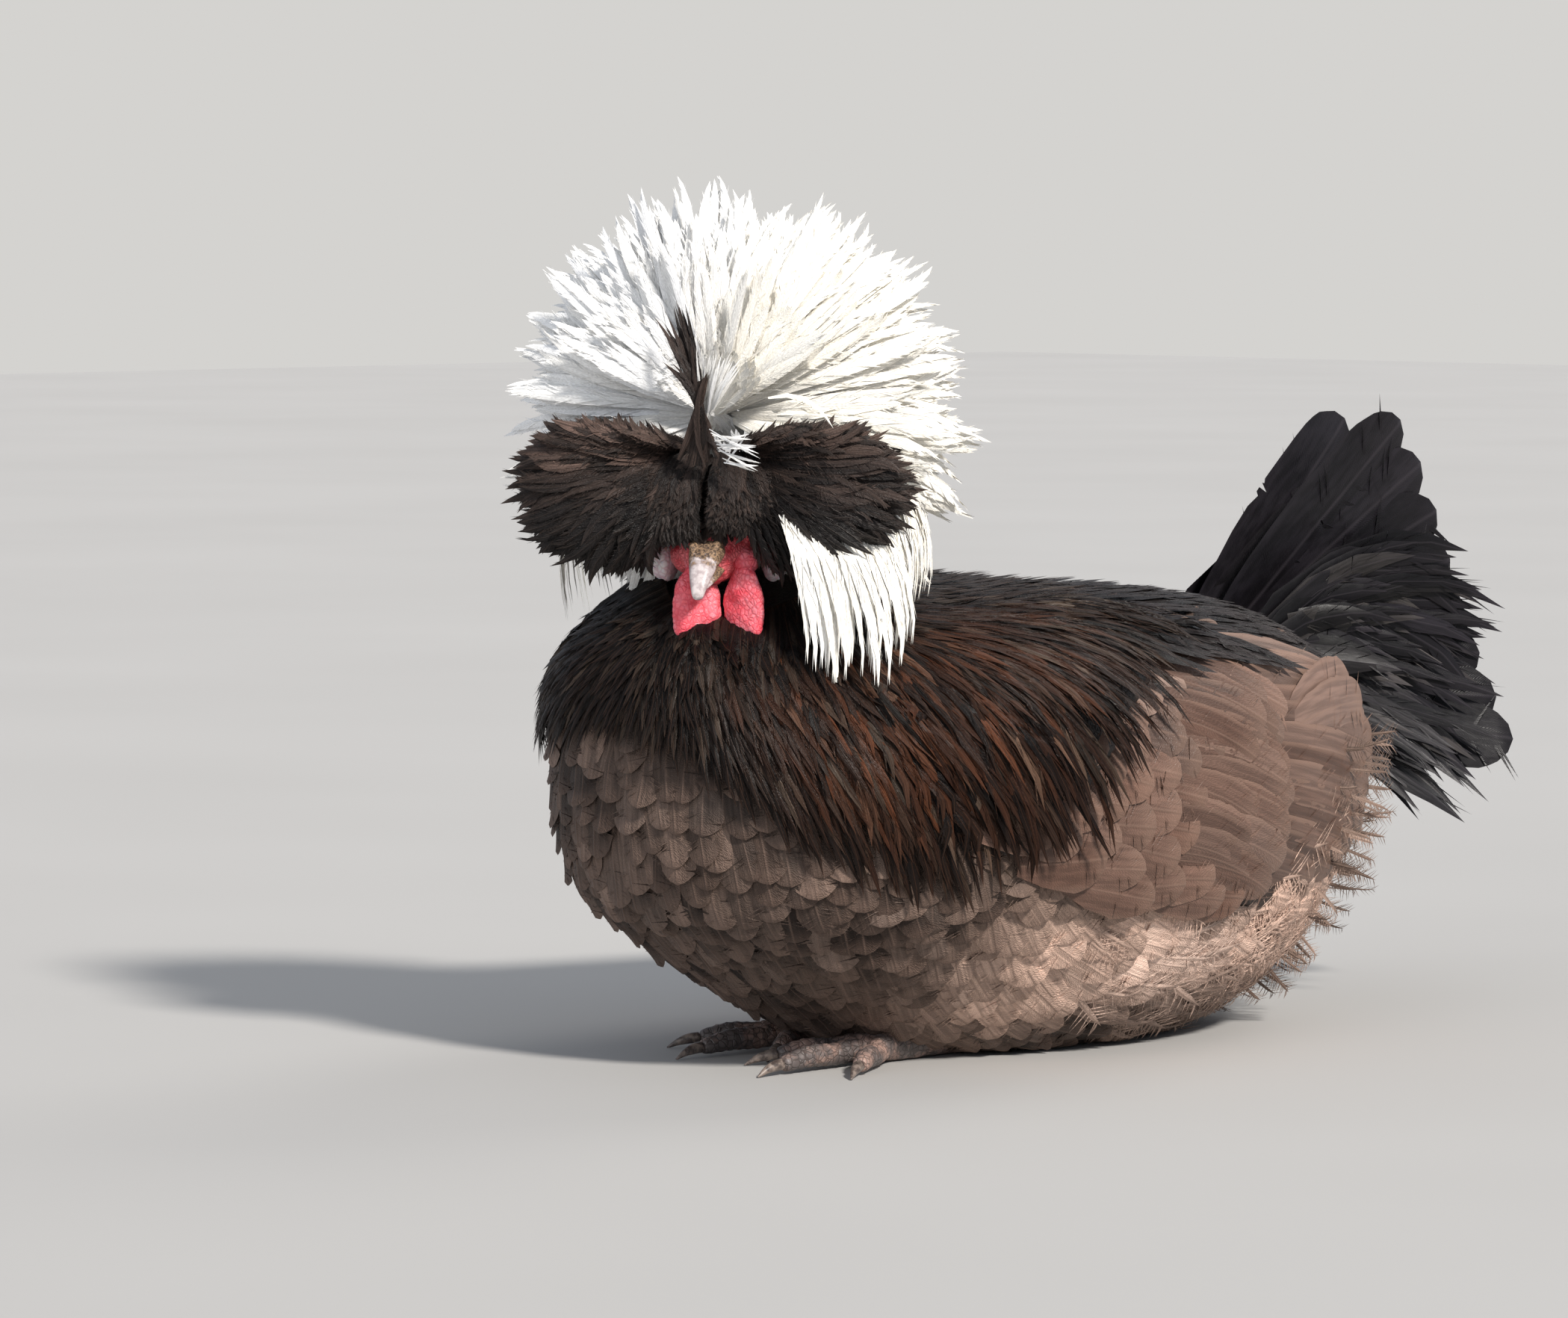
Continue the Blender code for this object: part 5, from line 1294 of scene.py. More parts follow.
def grow_hackles(carrier):
    """Long narrow feathers from the jaw to the ragged fringe on breast, shoulders and back."""
    draw = random.Random(202)
    halves = {
        1: Plumage("hackles_left", PAINT_HACKLE, "dark_plume", 4),
        -1: Plumage("hackles_right", PAINT_HACKLE, "dark_plume", 5),
    }
    lines, lengths = neck_lines(carrier)
    for _ in range(HACKLES):
        degrees = draw.uniform(-180, 180)
        length = lengths[int(degrees + 180)]
        end = 0.20 + 0.82 * draw.random() ** 0.62
        if end > 0.90:
            ragged = noise.noise(Vector((degrees * 0.075, 3.1, 0.0))) * 0.07
            end += draw.uniform(-0.06, 0.045) + ragged
        long = min(0.68, draw.uniform(0.048, 0.072) / length)
        start = max(-0.02, end - long)
        stand = 0.0016 + 0.0030 * draw.random() ** 2
        lifts = (-0.0016, 0.0006, 0.0018, stand)
        swirl = HACKLE_SWIRL * smooth(20, 70, degrees) * (1 - smooth(110, 150, degrees))
        points, outs = hackle_line(lines, degrees, start, end, lifts, swirl)
        away = draw.gauss(0, 0.0020)
        across = (points[3] - points[2]).cross(outs[3]).normalized()
        points[3] = points[3] + across * away
        points[2] = points[2] + across * away * 0.3
        # Hackles on the side that faces the key lamp take the chestnut second colour: a painted gloss, strongest past
        # mid-length and fading at the fringe.
        painted_gloss = smooth(20, 58, degrees) * (1 - smooth(100, 135, degrees)) * smooth(0.30, 0.55, end)
        painted_gloss *= 1 - 0.75 * smooth(0.84, 0.98, end)
        look = (draw.random(), painted_gloss * draw.random() ** 1.5, 0.12 * draw.random() ** 8)
        wide = draw.uniform(0.0030, 0.0046)
        side = 1 if degrees > 0 else -1
        seat = (0.5 + degrees / 360, 0.5 * (start + end))
        halves[side].lay(points, outs, wide, "lance", draw.randrange(4), look, seat)
    halves[1].make(["neck_hackles"])
    halves[-1].make(["neck_hackles"])


# The wings.

def wing_feather(plumage, side, root, tip, wide, lifts, kind, number, look, bow=0.0, tilt=0.0):
    """A feather of the wing between (length, height) places; bow raises its middle and tilt its upper edge."""
    points = []
    for k, lift in enumerate(lifts):
        t = k / 3
        y, z = blend(root[0], tip[0], t), blend(root[1], tip[1], t) + bow * 4 * t * (1 - t)
        points.append(wing_place(y, z, lift, side))
    ahead = (points[3] - points[0]).normalized()
    out0 = turned(wing_out(*root, side), ahead, tilt * side)
    out1 = turned(wing_out(*tip, side), ahead, tilt * side)
    seat = ((root[0] - WING_FRONT_Y) / 0.19, (root[1] - 0.03) / 0.10)
    plumage.add(through(*points), out0, out1, wide, kind, number, look, seat)


def grow_wing(side):
    """Scale-like coverts from the shoulder back, a longer row over the flights' roots, and the flights."""
    draw = random.Random(303 + side)
    where = WHERE[side]
    coverts = Plumage(f"wing_coverts_{where}", PAINT_WING, "brown_plume", 6 + side)
    flights = Plumage(f"wing_flights_{where}", PAINT_FLIGHT, "brown_plume", 9 + side)
    taken = []
    for _ in range(WING_COVERT_TRIES):
        y = draw.uniform(WING_FRONT_Y - 0.004, 0.030)
        low, high = curve_through(WING_BOTTOM, y) + 0.001, curve_through(WING_TOP, y) - 0.001
        z = draw.uniform(low, high)
        if any(((y - a) / 0.0092) ** 2 + ((z - b) / 0.0082) ** 2 < 1 for a, b in taken):
            continue
        taken.append((y, z))
        t = (z - low) / (high - low)
        long = draw.uniform(0.028, 0.034)
        fall = blend(0.10, 0.30, t) + draw.gauss(0, 0.06)
        root, tip = (y - long * 0.40, z + fall * long * 0.40), (y + long * 0.60, z - fall * long * 0.60)
        patch = math.exp(-((y - 0.010) / 0.020) ** 2 - ((z - 0.098) / 0.010) ** 2)
        dark = min(1.0, patch * draw.uniform(0.7, 1.5))
        upper = smooth(0.72, 0.98, t)
        look = (
            draw.random(), min(1.0, max(0.0, 1 - dark + draw.gauss(0, 0.05))),
            0.10 * draw.random() + 0.45 * upper
        )
        lifts = (-0.0008, 0.0012, 0.0028, 0.0040 + 0.0014 * draw.random())
        wing_feather(
            coverts, side, root, tip, draw.uniform(0.0155, 0.0185), lifts, "contour", draw.randrange(4),
            look
        )
    for i in range(WING_FLIGHTS):
        t = i / (WING_FLIGHTS - 1)
        turn = 58 - 140 * t + draw.gauss(0, 1.2)
        tip = (0.0760 + 0.0460 * max(0.0, cosine(turn)) ** 0.75, 0.0745 + 0.0285 * sine(turn))
        tip = (tip[0] + draw.gauss(0, 0.0012), tip[1])
        root = (0.002 + 0.020 * t + draw.gauss(0, 0.002), 0.112 - 0.052 * t)
        end = 0.0062 - 0.0040 * t
        look = (draw.random(), draw.uniform(0.6, 1.0), 0.12 * draw.random() + 0.25 * (1 - t) ** 3)
        lifts = (-0.0008, 0.0024 - 0.0010 * t, 0.0038 - 0.0018 * t, end)
        wing_feather(flights, side, root, tip, 0.0138, lifts, "flight", i, look, 0.0075 * (1 - t), 9)
    for i in range(WING_LONG_COVERTS):
        t = (i + 0.5) / WING_LONG_COVERTS
        z = blend(0.111, 0.050, t)
        far = 0.026 + 0.020 * draw.random()
        root, tip = (-0.010 + 0.3 * far, z + 0.007), (0.016 + far, z - 0.006 - 0.004 * (1 - t))
        look = (
            draw.random(), draw.uniform(0.7, 1.0) if z < 0.094 else draw.uniform(0.2, 0.9),
            0.14 * draw.random()
        )
        lifts = (-0.0004, 0.0034, 0.0050, 0.0060 - 0.0020 * t + 0.0006 * draw.random())
        wing_feather(
            coverts, side, root, tip, draw.uniform(0.0125, 0.0150), lifts, "flight", i, look, 0.003, 9
        )
    for i in range(WING_PRIMARIES):
        t = i / (WING_PRIMARIES - 1)
        tip = (0.080 + 0.022 * t, 0.0445 + 0.011 * t)
        root = (0.026 - 0.003 * t, 0.0505 + 0.007 * t)
        look = (draw.random(), draw.uniform(0.0, 0.35), 0.0)
        lifts = (-0.0012, 0.0004, 0.0008, 0.0010 + 0.0003 * t)
        wing_feather(flights, side, root, tip, 0.0085, lifts, "flight", i + 1, look, -0.004, 9)
    for i in range(2):
        root, tip = (0.066, 0.092 + 0.003 * i), (0.110 - 0.006 * i, 0.096 + 0.006 * i)
        look = (0.7, 1.0, 0.20)
        wing_feather(
            flights, side, root, tip, 0.0170, (0.0030, 0.0050, 0.0062, 0.0070), "flight", i, look, 0.002, 10
        )
    coverts.make([f"wing_{where}_coverts"])
    flights.make([f"wing_{where}_flights"])


# The saddle.

def saddle_place(s, phi, lift):
    return torso_point(s, phi) + torso_out(s, phi) * lift


def grow_saddle(carrier):
    """Narrow feathers from the back that lie over the wings' upper edges and the tail's root."""
    draw = random.Random(404)
    saddle = Plumage("saddle_feathers", PAINT_SADDLE, "dark_plume", 12)
    for _ in range(SADDLE_FEATHERS):
        tip = 0.58 + 0.38 * draw.random() ** 0.75
        long = draw.uniform(0.11, 0.16)
        phi = draw.uniform(-58, 58) * (1.0 - 0.2 * smooth(0.8, 0.95, tip))
        points, outs = [], []
        for k, lift in enumerate((-0.0010, 0.0014, 0.0030, 0.0036 + 0.0016 * draw.random())):
            t = k / 3
            s, turn = tip - long * (1 - t), phi * (0.66 + 0.42 * t)
            place = saddle_place(s, turn, lift)
            if k > 0:
                place = carrier.over(place, 0.0006 + 0.0030 * t)
            points.append(place)
            outs.append(torso_out(s, turn))
        look = (draw.random(), 0.35 * draw.random() ** 2, 0.04 * draw.random())
        wide = draw.uniform(0.0042, 0.0060)
        saddle.lay(points, outs, wide, "lance", draw.randrange(4), look, (0.5 + phi / 360, tip))
    saddle.make(["saddle"])


# The tail.

def tail_feather(
    plumage, side, lean, turn, length, wide, offset, curl, start, flare, kind, number, look, rise=0.0
):
    """A feather of the tail at an angle above level, offset outwards, curled down and flared out."""
    back, up, out = tail_plane(side, lean)
    root = TAIL_ROOT + tail_plane(side)[2] * offset
    points = []
    for k in range(4):
        t = k / 3
        angle = turn - curl * t * t
        away = start + (length - start) * t
        points.append(
            root + (back * cosine(angle) + up * sine(angle)) * away + out * flare * t * t + RISE * rise * t
        )
    seat = (0.5 + 0.4 * side * (0.2 + 0.6 * (turn + 20) / 100), 0.2 + 0.5 * start / 0.02)
    plumage.add(through(*points), out, out, wide, kind, number, look, seat)


def grow_tail(side):
    """A fan of broad feathers in each half, with curved coverts and sickles over its root."""
    draw = random.Random(505 + side)
    where = WHERE[side]
    fan = Plumage(f"tail_fan_{where}", PAINT_TAIL, "dark_plume", 15 + side)
    for i in range(TAIL_FEATHERS):
        t = i / (TAIL_FEATHERS - 1)
        length = TAIL_LENGTH * (0.94 + 0.06 * smooth(0.4, 1.0, t)) * draw.uniform(0.985, 1.01)
        offset = 0.0040 + 0.0011 * (TAIL_FEATHERS - 1 - i)
        # The upper feathers of the fan take more of the bluish grey second colour: a painted sheen where the light
        # catches them.
        look = (draw.random(), 0.15 + 0.6 * t * t, 0.0)
        tail_feather(
            fan, side, blend(*TAIL_LEAN, t), blend(*TAIL_FAN, t), length, 0.0260, offset, 0, 0.004,
            TAIL_FLARE * (1 - t),
            "flight", i, look,
        )
    fan.make([f"tail_{where}"])
    coverts = Plumage(f"tail_coverts_{where}", PAINT_TAIL, "dark_plume", 18 + side)
    for _ in range(TAIL_LANCES):
        t = draw.random()
        turn = -32 + 73 * t
        length = TAIL_LENGTH * (0.40 + 0.58 * draw.random() ** 0.8 * smooth(-0.5, 0.6, t))
        offset = draw.uniform(0.0110, 0.0200)
        curl = draw.uniform(4, 16) + 8 * t
        look = (draw.random(), draw.random() ** 2, 0.12 * draw.random() ** 6)
        wide = draw.uniform(0.0055, 0.0100)
        lean = blend(*TAIL_LEAN, t) + draw.uniform(-4, 3)
        flare = SICKLE_FLARE * draw.uniform(0.5, 1.0) * (1 - 0.6 * t)
        tail_feather(
            coverts, side, lean, turn, length, wide, offset, curl, 0.002, flare, "lance", draw.randrange(4),
            look
        )
    for i in range(TAIL_COVERTS):
        t = i / (TAIL_COVERTS - 1)
        length = TAIL_LENGTH * (0.74 + 0.12 * smooth(0.2, 1.0, t))
        look = (draw.random(), 0.3, 0.0)
        tail_feather(
            coverts, side, blend(*TAIL_LEAN, t), -30 + 74 * t, length, 0.0130, 0.0156 + 0.0016 * (i % 2),
            14 + 22 * t,
            0.006, SICKLE_FLARE * (1 - 0.6 * t), "lance", i, look,
        )
    coverts.make([f"tail_coverts_{where}"])


# The crest and the dark puffs.

def crest_shows(theta, psi):
    """Whether a white feather ends here: none on the face, and none in front of the dark puffs."""
    turn = abs((psi + 180) % 360 - 180)
    if turn < 68:
        return theta > 42
    if turn < 118:
        return theta > 66
    return theta > 84 + 0.35 * (turn - 118)


def crest_spot(draw):
    while True:
        theta, psi = math.degrees(math.acos(draw.uniform(-0.97, 0.9))), draw.uniform(-180, 180)
        if crest_shows(theta, psi):
            return theta, psi


def crest_plume(halves, draw, theta, psi, aim, reach, wide, sweep):
    """A plume that leaves the knob near the parting, lies along the dome and ends in a free point."""
    points, outs = [], []
    for k in range(4):
        t = k / 3
        way = crest_way(theta - sweep * (1 - t), psi).lerp(aim, t ** 1.5).normalized()
        share = blend(CREST_ROOT, reach, t ** 0.75)
        droop = CREST_DROOP * smooth(80, 150, theta) * t * t
        points.append(CREST_MIDDLE + way * crest_reach(way) * share - RISE * droop)
        outs.append(way)
    out = turned(outs[0], (points[3] - points[0]).normalized(), draw.gauss(0, 20))
    # Plumes on the side that faces the key lamp take more of the cream second colour: painted warm light, with random
    # tone on top.
    lit_side_warmth = smooth(-0.4, 0.5, outs[3].dot(LEFT))
    look = (draw.random(), min(1.0, max(0.0, 0.15 + 0.75 * lit_side_warmth + draw.gauss(0, 0.15))), 0.0)
    seat = (0.5 + 0.5 * theta / 180 * sine(psi), 0.5 + 0.5 * theta / 180 * cosine(psi))
    half = 0 if points[3].dot(LEFT) > CREST_MIDDLE.dot(LEFT) else 1
    halves[half].add(through(*points), out, outs[3], wide, "plume", draw.randrange(4), look, seat)


def grow_white_crest(carrier):
    """A dense mass of plumes swept back from the parting, and locks that stand out of it in points."""
    draw = random.Random(606)
    halves = [
        Plumage(f"crest_white_{where}", PAINT_WHITE, "white_plume", 21 + k) for k,
        where in enumerate(("left", "right"))
    ]
    for _ in range(CREST_PLUMES):
        theta, psi = crest_spot(draw)
        reach = 0.72 + 0.17 * draw.random() ** 0.7
        sweep = CREST_SWEEP * draw.uniform(0.8, 1.15)
        crest_plume(
            halves, draw, theta, psi, crest_way(theta, psi), reach, draw.uniform(0.0044, 0.0062), sweep
        )
    for _ in range(CREST_FRONT_PLUMES):
        theta, psi = draw.uniform(16, 44), draw.uniform(-66, 66)
        aim = crest_way(theta, psi)
        crest_plume(
            halves, draw, theta, psi, aim, draw.uniform(0.68, 0.78), draw.uniform(0.0030, 0.0045), 30
        )
    for _ in range(CREST_POINTS):
        theta, psi = crest_spot(draw)
        tall = 0.86 + 0.24 * draw.random()
        lock = crest_way(theta, psi)
        for _ in range(draw.randrange(5, 9)):
            near, turn = theta + draw.gauss(0, 4.5), psi + draw.gauss(0, 4.5) / max(0.3, sine(theta))
            aim = crest_way(near, turn).lerp(lock, 0.80).normalized()
            reach = tall * (1 - 0.15 * draw.random() ** 0.8)
            sweep = CREST_SWEEP * draw.uniform(0.75, 1.0)
            crest_plume(halves, draw, near, turn, aim, reach, draw.uniform(0.0032, 0.0047), sweep)
    for lock, low, count in CREST_LOCKS:
        for _ in range(count):
            degrees = (lock + draw.gauss(0, 2.4) + 180) % 360 - 180
            out = bearing(degrees)
            tip = bezier(neck_line(carrier, degrees, 0.0060), max(0.12, low - 0.16 * draw.random() ** 1.5))
            middle = CREST_MIDDLE - RISE * 0.012
            line = (middle + out * 0.022, middle + out * 0.052, tip + RISE * 0.022 + out * 0.004, tip)
            look = (draw.random(), draw.uniform(0.4, 1.0), 0.0)
            half = 0 if tip.dot(LEFT) > CREST_MIDDLE.dot(LEFT) else 1
            halves[half].add(
                line, (out + RISE * 0.3).normalized(), out, draw.uniform(0.0026, 0.0042), "plume",
                draw.randrange(4), look, (0.5 + degrees / 400, 0.04),
            )
    for half in halves:
        half.make(["crest_white"])


def dome_feather(plumage, draw, root, tip, shares, wide, kind, look, bow=0.0):
    """A feather over the crest's front between two (theta, psi) places."""
    points, outs = [], []
    for k in range(4):
        t = k / 3
        theta, psi = blend(root[0], tip[0], t), blend(root[1], tip[1], t) + bow * 4 * t * (1 - t)
        way = crest_way(theta, psi)
        points.append(CREST_MIDDLE + way * crest_reach(way) * blend(*shares, t))
        outs.append(way)
    seat = (0.5 + 0.3 * (tip[1] / 180), 0.5 + 0.3 * (tip[0] / 90))
    plumage.lay(points, outs, wide, kind, draw.randrange(4), look, seat)


def fan_feather(plumage, draw, root, tip, shares, wide, look):
    """A thin blade straight from one (theta, psi) place of the crest's front to another."""
    ends = []
    for (theta, psi), share in zip((root, tip), shares):
        way = crest_way(theta, psi)
        ends.append(CREST_MIDDLE + way * crest_reach(way) * share)
    start, end = ends
    out = (start - CREST_MIDDLE).normalized()
    swell = out * (end - start).length * 0.12
    line = (start, blend(start, end, 0.33) + swell, blend(start, end, 0.67) + swell, end)
    turn = turned(out, (end - start).normalized(), draw.gauss(0, 25))
    seat = (0.5 + 0.3 * (tip[1] / 180), 0.5 + 0.3 * (tip[0] / 90))
    plumage.add(line, turn, turn, wide, "plume", draw.randrange(4), look, seat)


def grow_parting():
    """The dark tuft that stands up from the parting, and the odd white feathers beside it."""
    draw = random.Random(616)
    dark = Plumage("parting_tuft_dark", PAINT_PUFF, "dark_plume", 27)
    pale = Plumage("parting_tuft_white", PAINT_WHITE, "white_plume", 28)
    leads = ((31, -13, 14), (28, -25, 11), (20, -8, 8), (17, -40, 8), (12, 18, 7))
    for theta, psi, count in leads:
        for _ in range(count):
            tip = (theta * draw.uniform(0.72, 1.05), psi + draw.gauss(0, 2.5))
            start = (-draw.uniform(14, 22), draw.gauss(0, 9))
            look = (draw.random(), 0.5 * draw.random(), 0.0)
            shares = (0.92, draw.uniform(1.00, 1.06))
            dome_feather(dark, draw, start, tip, shares, draw.uniform(0.0018, 0.0030), "plume", look)
    fans = (
        ((7, 170), ((13, -30), (17, -4), (19, 24), (20, 48)), 70, (0.86, 1.00), 0.9),
        ((24, 156), ((16, 118), (21, 122), (26, 131), (28, 140)), 12, (0.99, 1.09), 0.5),
    )
    for root, tips, count, shares, loose in fans:
        for i in range(count):
            place = (i + draw.uniform(0, loose)) / count * (len(tips) - 1)
            k = min(len(tips) - 2, int(place))
            far = 1 - loose * 0.7 * draw.random() ** 1.5
            theta = blend(root[0], blend(tips[k][0], tips[k + 1][0], place - k), far)
            psi = blend(tips[k][1], tips[k + 1][1], place - k)
            start = (root[0] * draw.uniform(0.3, 1.0), root[1])
            look = (draw.random(), 0.5 * draw.random(), 0.0)
            reach = (shares[0] - 0.03 * draw.random(), shares[1] + 0.05 * draw.gauss(0, 0.6))
            fan_feather(pale, draw, start, (theta, psi), reach, draw.uniform(0.0007, 0.0012), look)
    dome_feather(pale, draw, (22, 84), (40, 99), (1.03, 1.08), 0.0018, "plume", (0.6, 1.0, 0.0), -6)
    dark.make()
    pale.make()


# A plume of the puff: where it ends on its line, how long it is, how far its tip stands off and sways,
# over which upward slopes it is browner as a painted highlight, and how wide it is.
OUTER_PLUME = {
    "end": (0.30, 0.8), "long": (0.42, 0.62), "stand": (0.0010, 0.0028), "sway": 0.0022,
    "brown": (-0.5, 0.6), "wide": (0.0034, 0.0054),
}
INNER_PLUME = {
    "end": (0.35, 0.7), "long": (0.40, 0.60), "stand": (0.0008, 0.0022), "sway": 0.0014,
    "brown": (-0.6, 0.5), "wide": (0.0026, 0.0042),
}


def puff_plume(puff, draw, line, heart, aside, plume):
    """A plume on part of a line, turned away from the puff's heart."""
    end = draw.uniform(plume["end"][0], 1.0) ** plume["end"][1]
    begin = max(0.0, end - draw.uniform(*plume["long"]))
    low, more = plume["stand"]
    points, outs = [], []
    for k, lift in enumerate((-0.0012, 0.0004, low, low + more * draw.random() ** 2)):
        place = bezier(line, blend(begin, end, k / 3))
        out = (place - heart).normalized()
        points.append(place + out * lift)
        outs.append(out)
    across = (points[3] - points[0]).cross(outs[3]).normalized()
    points[3] = points[3] + across * draw.gauss(0, plume["sway"])
    # Brown at random, and more of it on upward slopes: a painted highlight where the light falls from above.
    look = (draw.random(), draw.random() * smooth(*plume["brown"], outs[3].dot(RISE)), 0.0)
    puff.lay(points, outs, draw.uniform(*plume["wide"]), "plume", draw.randrange(4), look, (aside, end))


def grow_dark_puff(side):
    """Loose dark plumes over one eye, spread from beside the parting in a bulging fan."""
    draw = random.Random(707 + side)
    where = WHERE[side]
    puff = Plumage(f"crest_dark_{where}", PAINT_PUFF, "dark_plume", 24 + side)
    f, l, u = PUFF_ROOT
    root = HEAD_MIDDLE + LEVEL_FORWARD * f + LEFT * l * side + RISE * u
    middle = puff_middle(side)
    for _ in range(PUFF_PLUMES):
        turn = draw.uniform(-112, 100)
        depth = draw.random()
        spread = LEFT * side * cosine(turn) * PUFF_REACH[1] + RISE * sine(turn) * PUFF_REACH[2]
        ahead = blend(0.004, -0.018, depth)
        low = 1 - 0.22 * smooth(25, 95, turn)
        full = middle + LEVEL_FORWARD * ahead + spread * low * draw.uniform(0.93, 1.07) * blend(
            1.0, 0.86, depth
        )
        start = root + LEVEL_FORWARD * (ahead * 0.35) + spread * 0.10
        line = (
            start - LEVEL_FORWARD * 0.006, start.lerp(full, 0.28) + LEVEL_FORWARD * 0.0095,
            start.lerp(full, 0.75) + LEVEL_FORWARD * 0.0080, full,
        )
        puff_plume(puff, draw, line, middle - LEVEL_FORWARD * 0.012, 0.5 + turn / 240, OUTER_PLUME)
    for _ in range(PUFF_INNER_PLUMES):
        t = draw.random()
        aside = PUFF_HEM[0][0] + (PUFF_HEM[-1][0] - PUFF_HEM[0][0]) * t
        up = curve_through(PUFF_HEM, aside) + 0.0016 * side
        tip = on_head(0.0172 - 0.010 * smooth(0.4, 1.0, t), aside * side, up + draw.gauss(0, 0.0008))
        across = LEFT * side * blend(0.0012, 0.0120, t)
        start = HEAD_MIDDLE + LEVEL_FORWARD * 0.009 + across + RISE * draw.uniform(0.017, 0.025)
        swell = LEVEL_FORWARD * 0.0090 + LEFT * side * 0.002
        line = (start, start.lerp(tip, 0.30) + swell, start.lerp(tip, 0.78) + swell * 0.7, tip)
        heart = start.lerp(tip, 0.5) - LEVEL_FORWARD * 0.012
        puff_plume(puff, draw, line, heart, 0.5 + 0.3 * t, INNER_PLUME)
    puff.make([f"crest_dark_{where}"])


# The skin and the bare parts.

def skull_parts():
    """The head under the plumage: a skull that narrows to the beak, its knob, cheeks and the comb's horns."""
    axes = (FORWARD, LEFT, UP)
    stations = (
        (-0.0125, 0.006, 0.007, 0.002), (-0.0105, 0.0095, 0.0105, 0.002), (-0.005, 0.0125, 0.0135, 0.0015),
        (0.001, 0.0125, 0.0140, 0.001), (0.007, 0.0105, 0.0125, 0.0), (0.0115, 0.0080, 0.0098, -0.001),
        (0.0145, 0.0066, 0.0082, -0.002), (0.0165, 0.0050, 0.0062, -0.0025),
    )
    rings = [
        [on_head(f, wide * sine(15 * i), lift + tall * cosine(15 * i)) for i in range(24)]
        for f, wide, tall, lift in stations
    ]
    parts = [loft_parts(rings, on_head(-0.0135, 0, 0.002), on_head(0.0168, 0, -0.0025))]
    parts.append(ball_parts(on_head(-0.002, 0, 0.0085), (0.0115, 0.0110, 0.0120), axes))
    for side in (1, -1):
        parts.append(
            ball_parts(on_head(0.0125, 0.0026 * side, 0.0078), (0.0030, 0.0018, 0.0034), axes, 8, 12)
        )
        parts.append(
            ball_parts(on_head(0.0060, 0.0085 * side, -0.0040), (0.0065, 0.0042, 0.0055), axes, 8, 14)
        )
    return joined(parts)


def shape_face(mesh):
    """Opens the lids round the eyes, raises their rims, and wrinkles the bare skin."""
    f, l, u = EYE_PLACE
    eyes = [(on_head(f, l * s, u), (LEFT * s + FORWARD * 0.35 + UP * 0.1).normalized()) for s in (1, -1)]
    for vert in mesh.vertices:
        place = vert.co.copy()
        normal = vert.normal.copy()
        crease = noise.noise(place * 900) * 0.00022 + noise.noise(place * 380) * 0.00030
        place += normal * crease
        for centre, out in eyes:
            away = place - centre
            angle = math.degrees(away.angle(out))
            if angle < 50 and away.length < EYE_RADIUS + 0.0040:
                place = centre + away.normalized() * (EYE_RADIUS - 0.0012)
            elif angle < 88:
                rim = math.exp(-((angle - 60) / 9) ** 2)
                least = EYE_RADIUS + 0.0009 * rim
                if away.length < least + 0.0012:
                    place = centre + away.normalized() * max(away.length, least)
        vert.co = place


def make_skin(carrier):
    """One skin for the torso, the neck and the head, inside the coat by the coat's depth."""
    lines = [neck_line(carrier, 15 * i - 180, -0.0030) for i in range(24)]
    rings = [[bezier(line, 0.97 * k / 9) for line in lines] for k in range(10)]
    rings.append([p * 0.70 + BODY_CORE * 0.30 for p in rings[-1]])
    neck = loft_parts(rings, NECK_RING + RISE * 0.003, BODY_CORE.copy())
    torso = torso_parts(-COAT_DEPTH, 40, 64)
    body = remeshed(mesh_object("skin", *joined([torso, neck])), 0.0026, 6)
    head = remeshed(mesh_object("face", *skull_parts()), 0.00060, 4)
    shape_face(head.data)
    looks = []
    for vert in body.data.vertices:
        share, pale = coat_tint(vert.co)
        dark = 1.0 if not under_hackles(vert.co + (vert.co - BODY_CORE).normalized() * 0.01) else 0.0
        looks.append((0.0, share * dark, pale * dark))
    set_vector(body.data, "look", looks)
    set_vector(head.data, "look", [face_look(vert.co) for vert in head.data.vertices])
    return merged("skin", [body, head])


def bareness(place):
    """How bare the head is at a place: red beside the beak and round the eye, feathered on brow, cheek and throat."""
    local = place - HEAD_MIDDLE
    ahead, aside, up = local.dot(FORWARD), abs(local.dot(LEFT)), local.dot(UP)
    side = smooth(-0.003, 0.001, ahead) * (
        1 - smooth(0.0045, 0.0070, up - 0.25 * aside)
    ) * smooth(-0.011, -0.008, up)
    return side


def face_look(place):
    return bareness(place), 0.0, 0.0


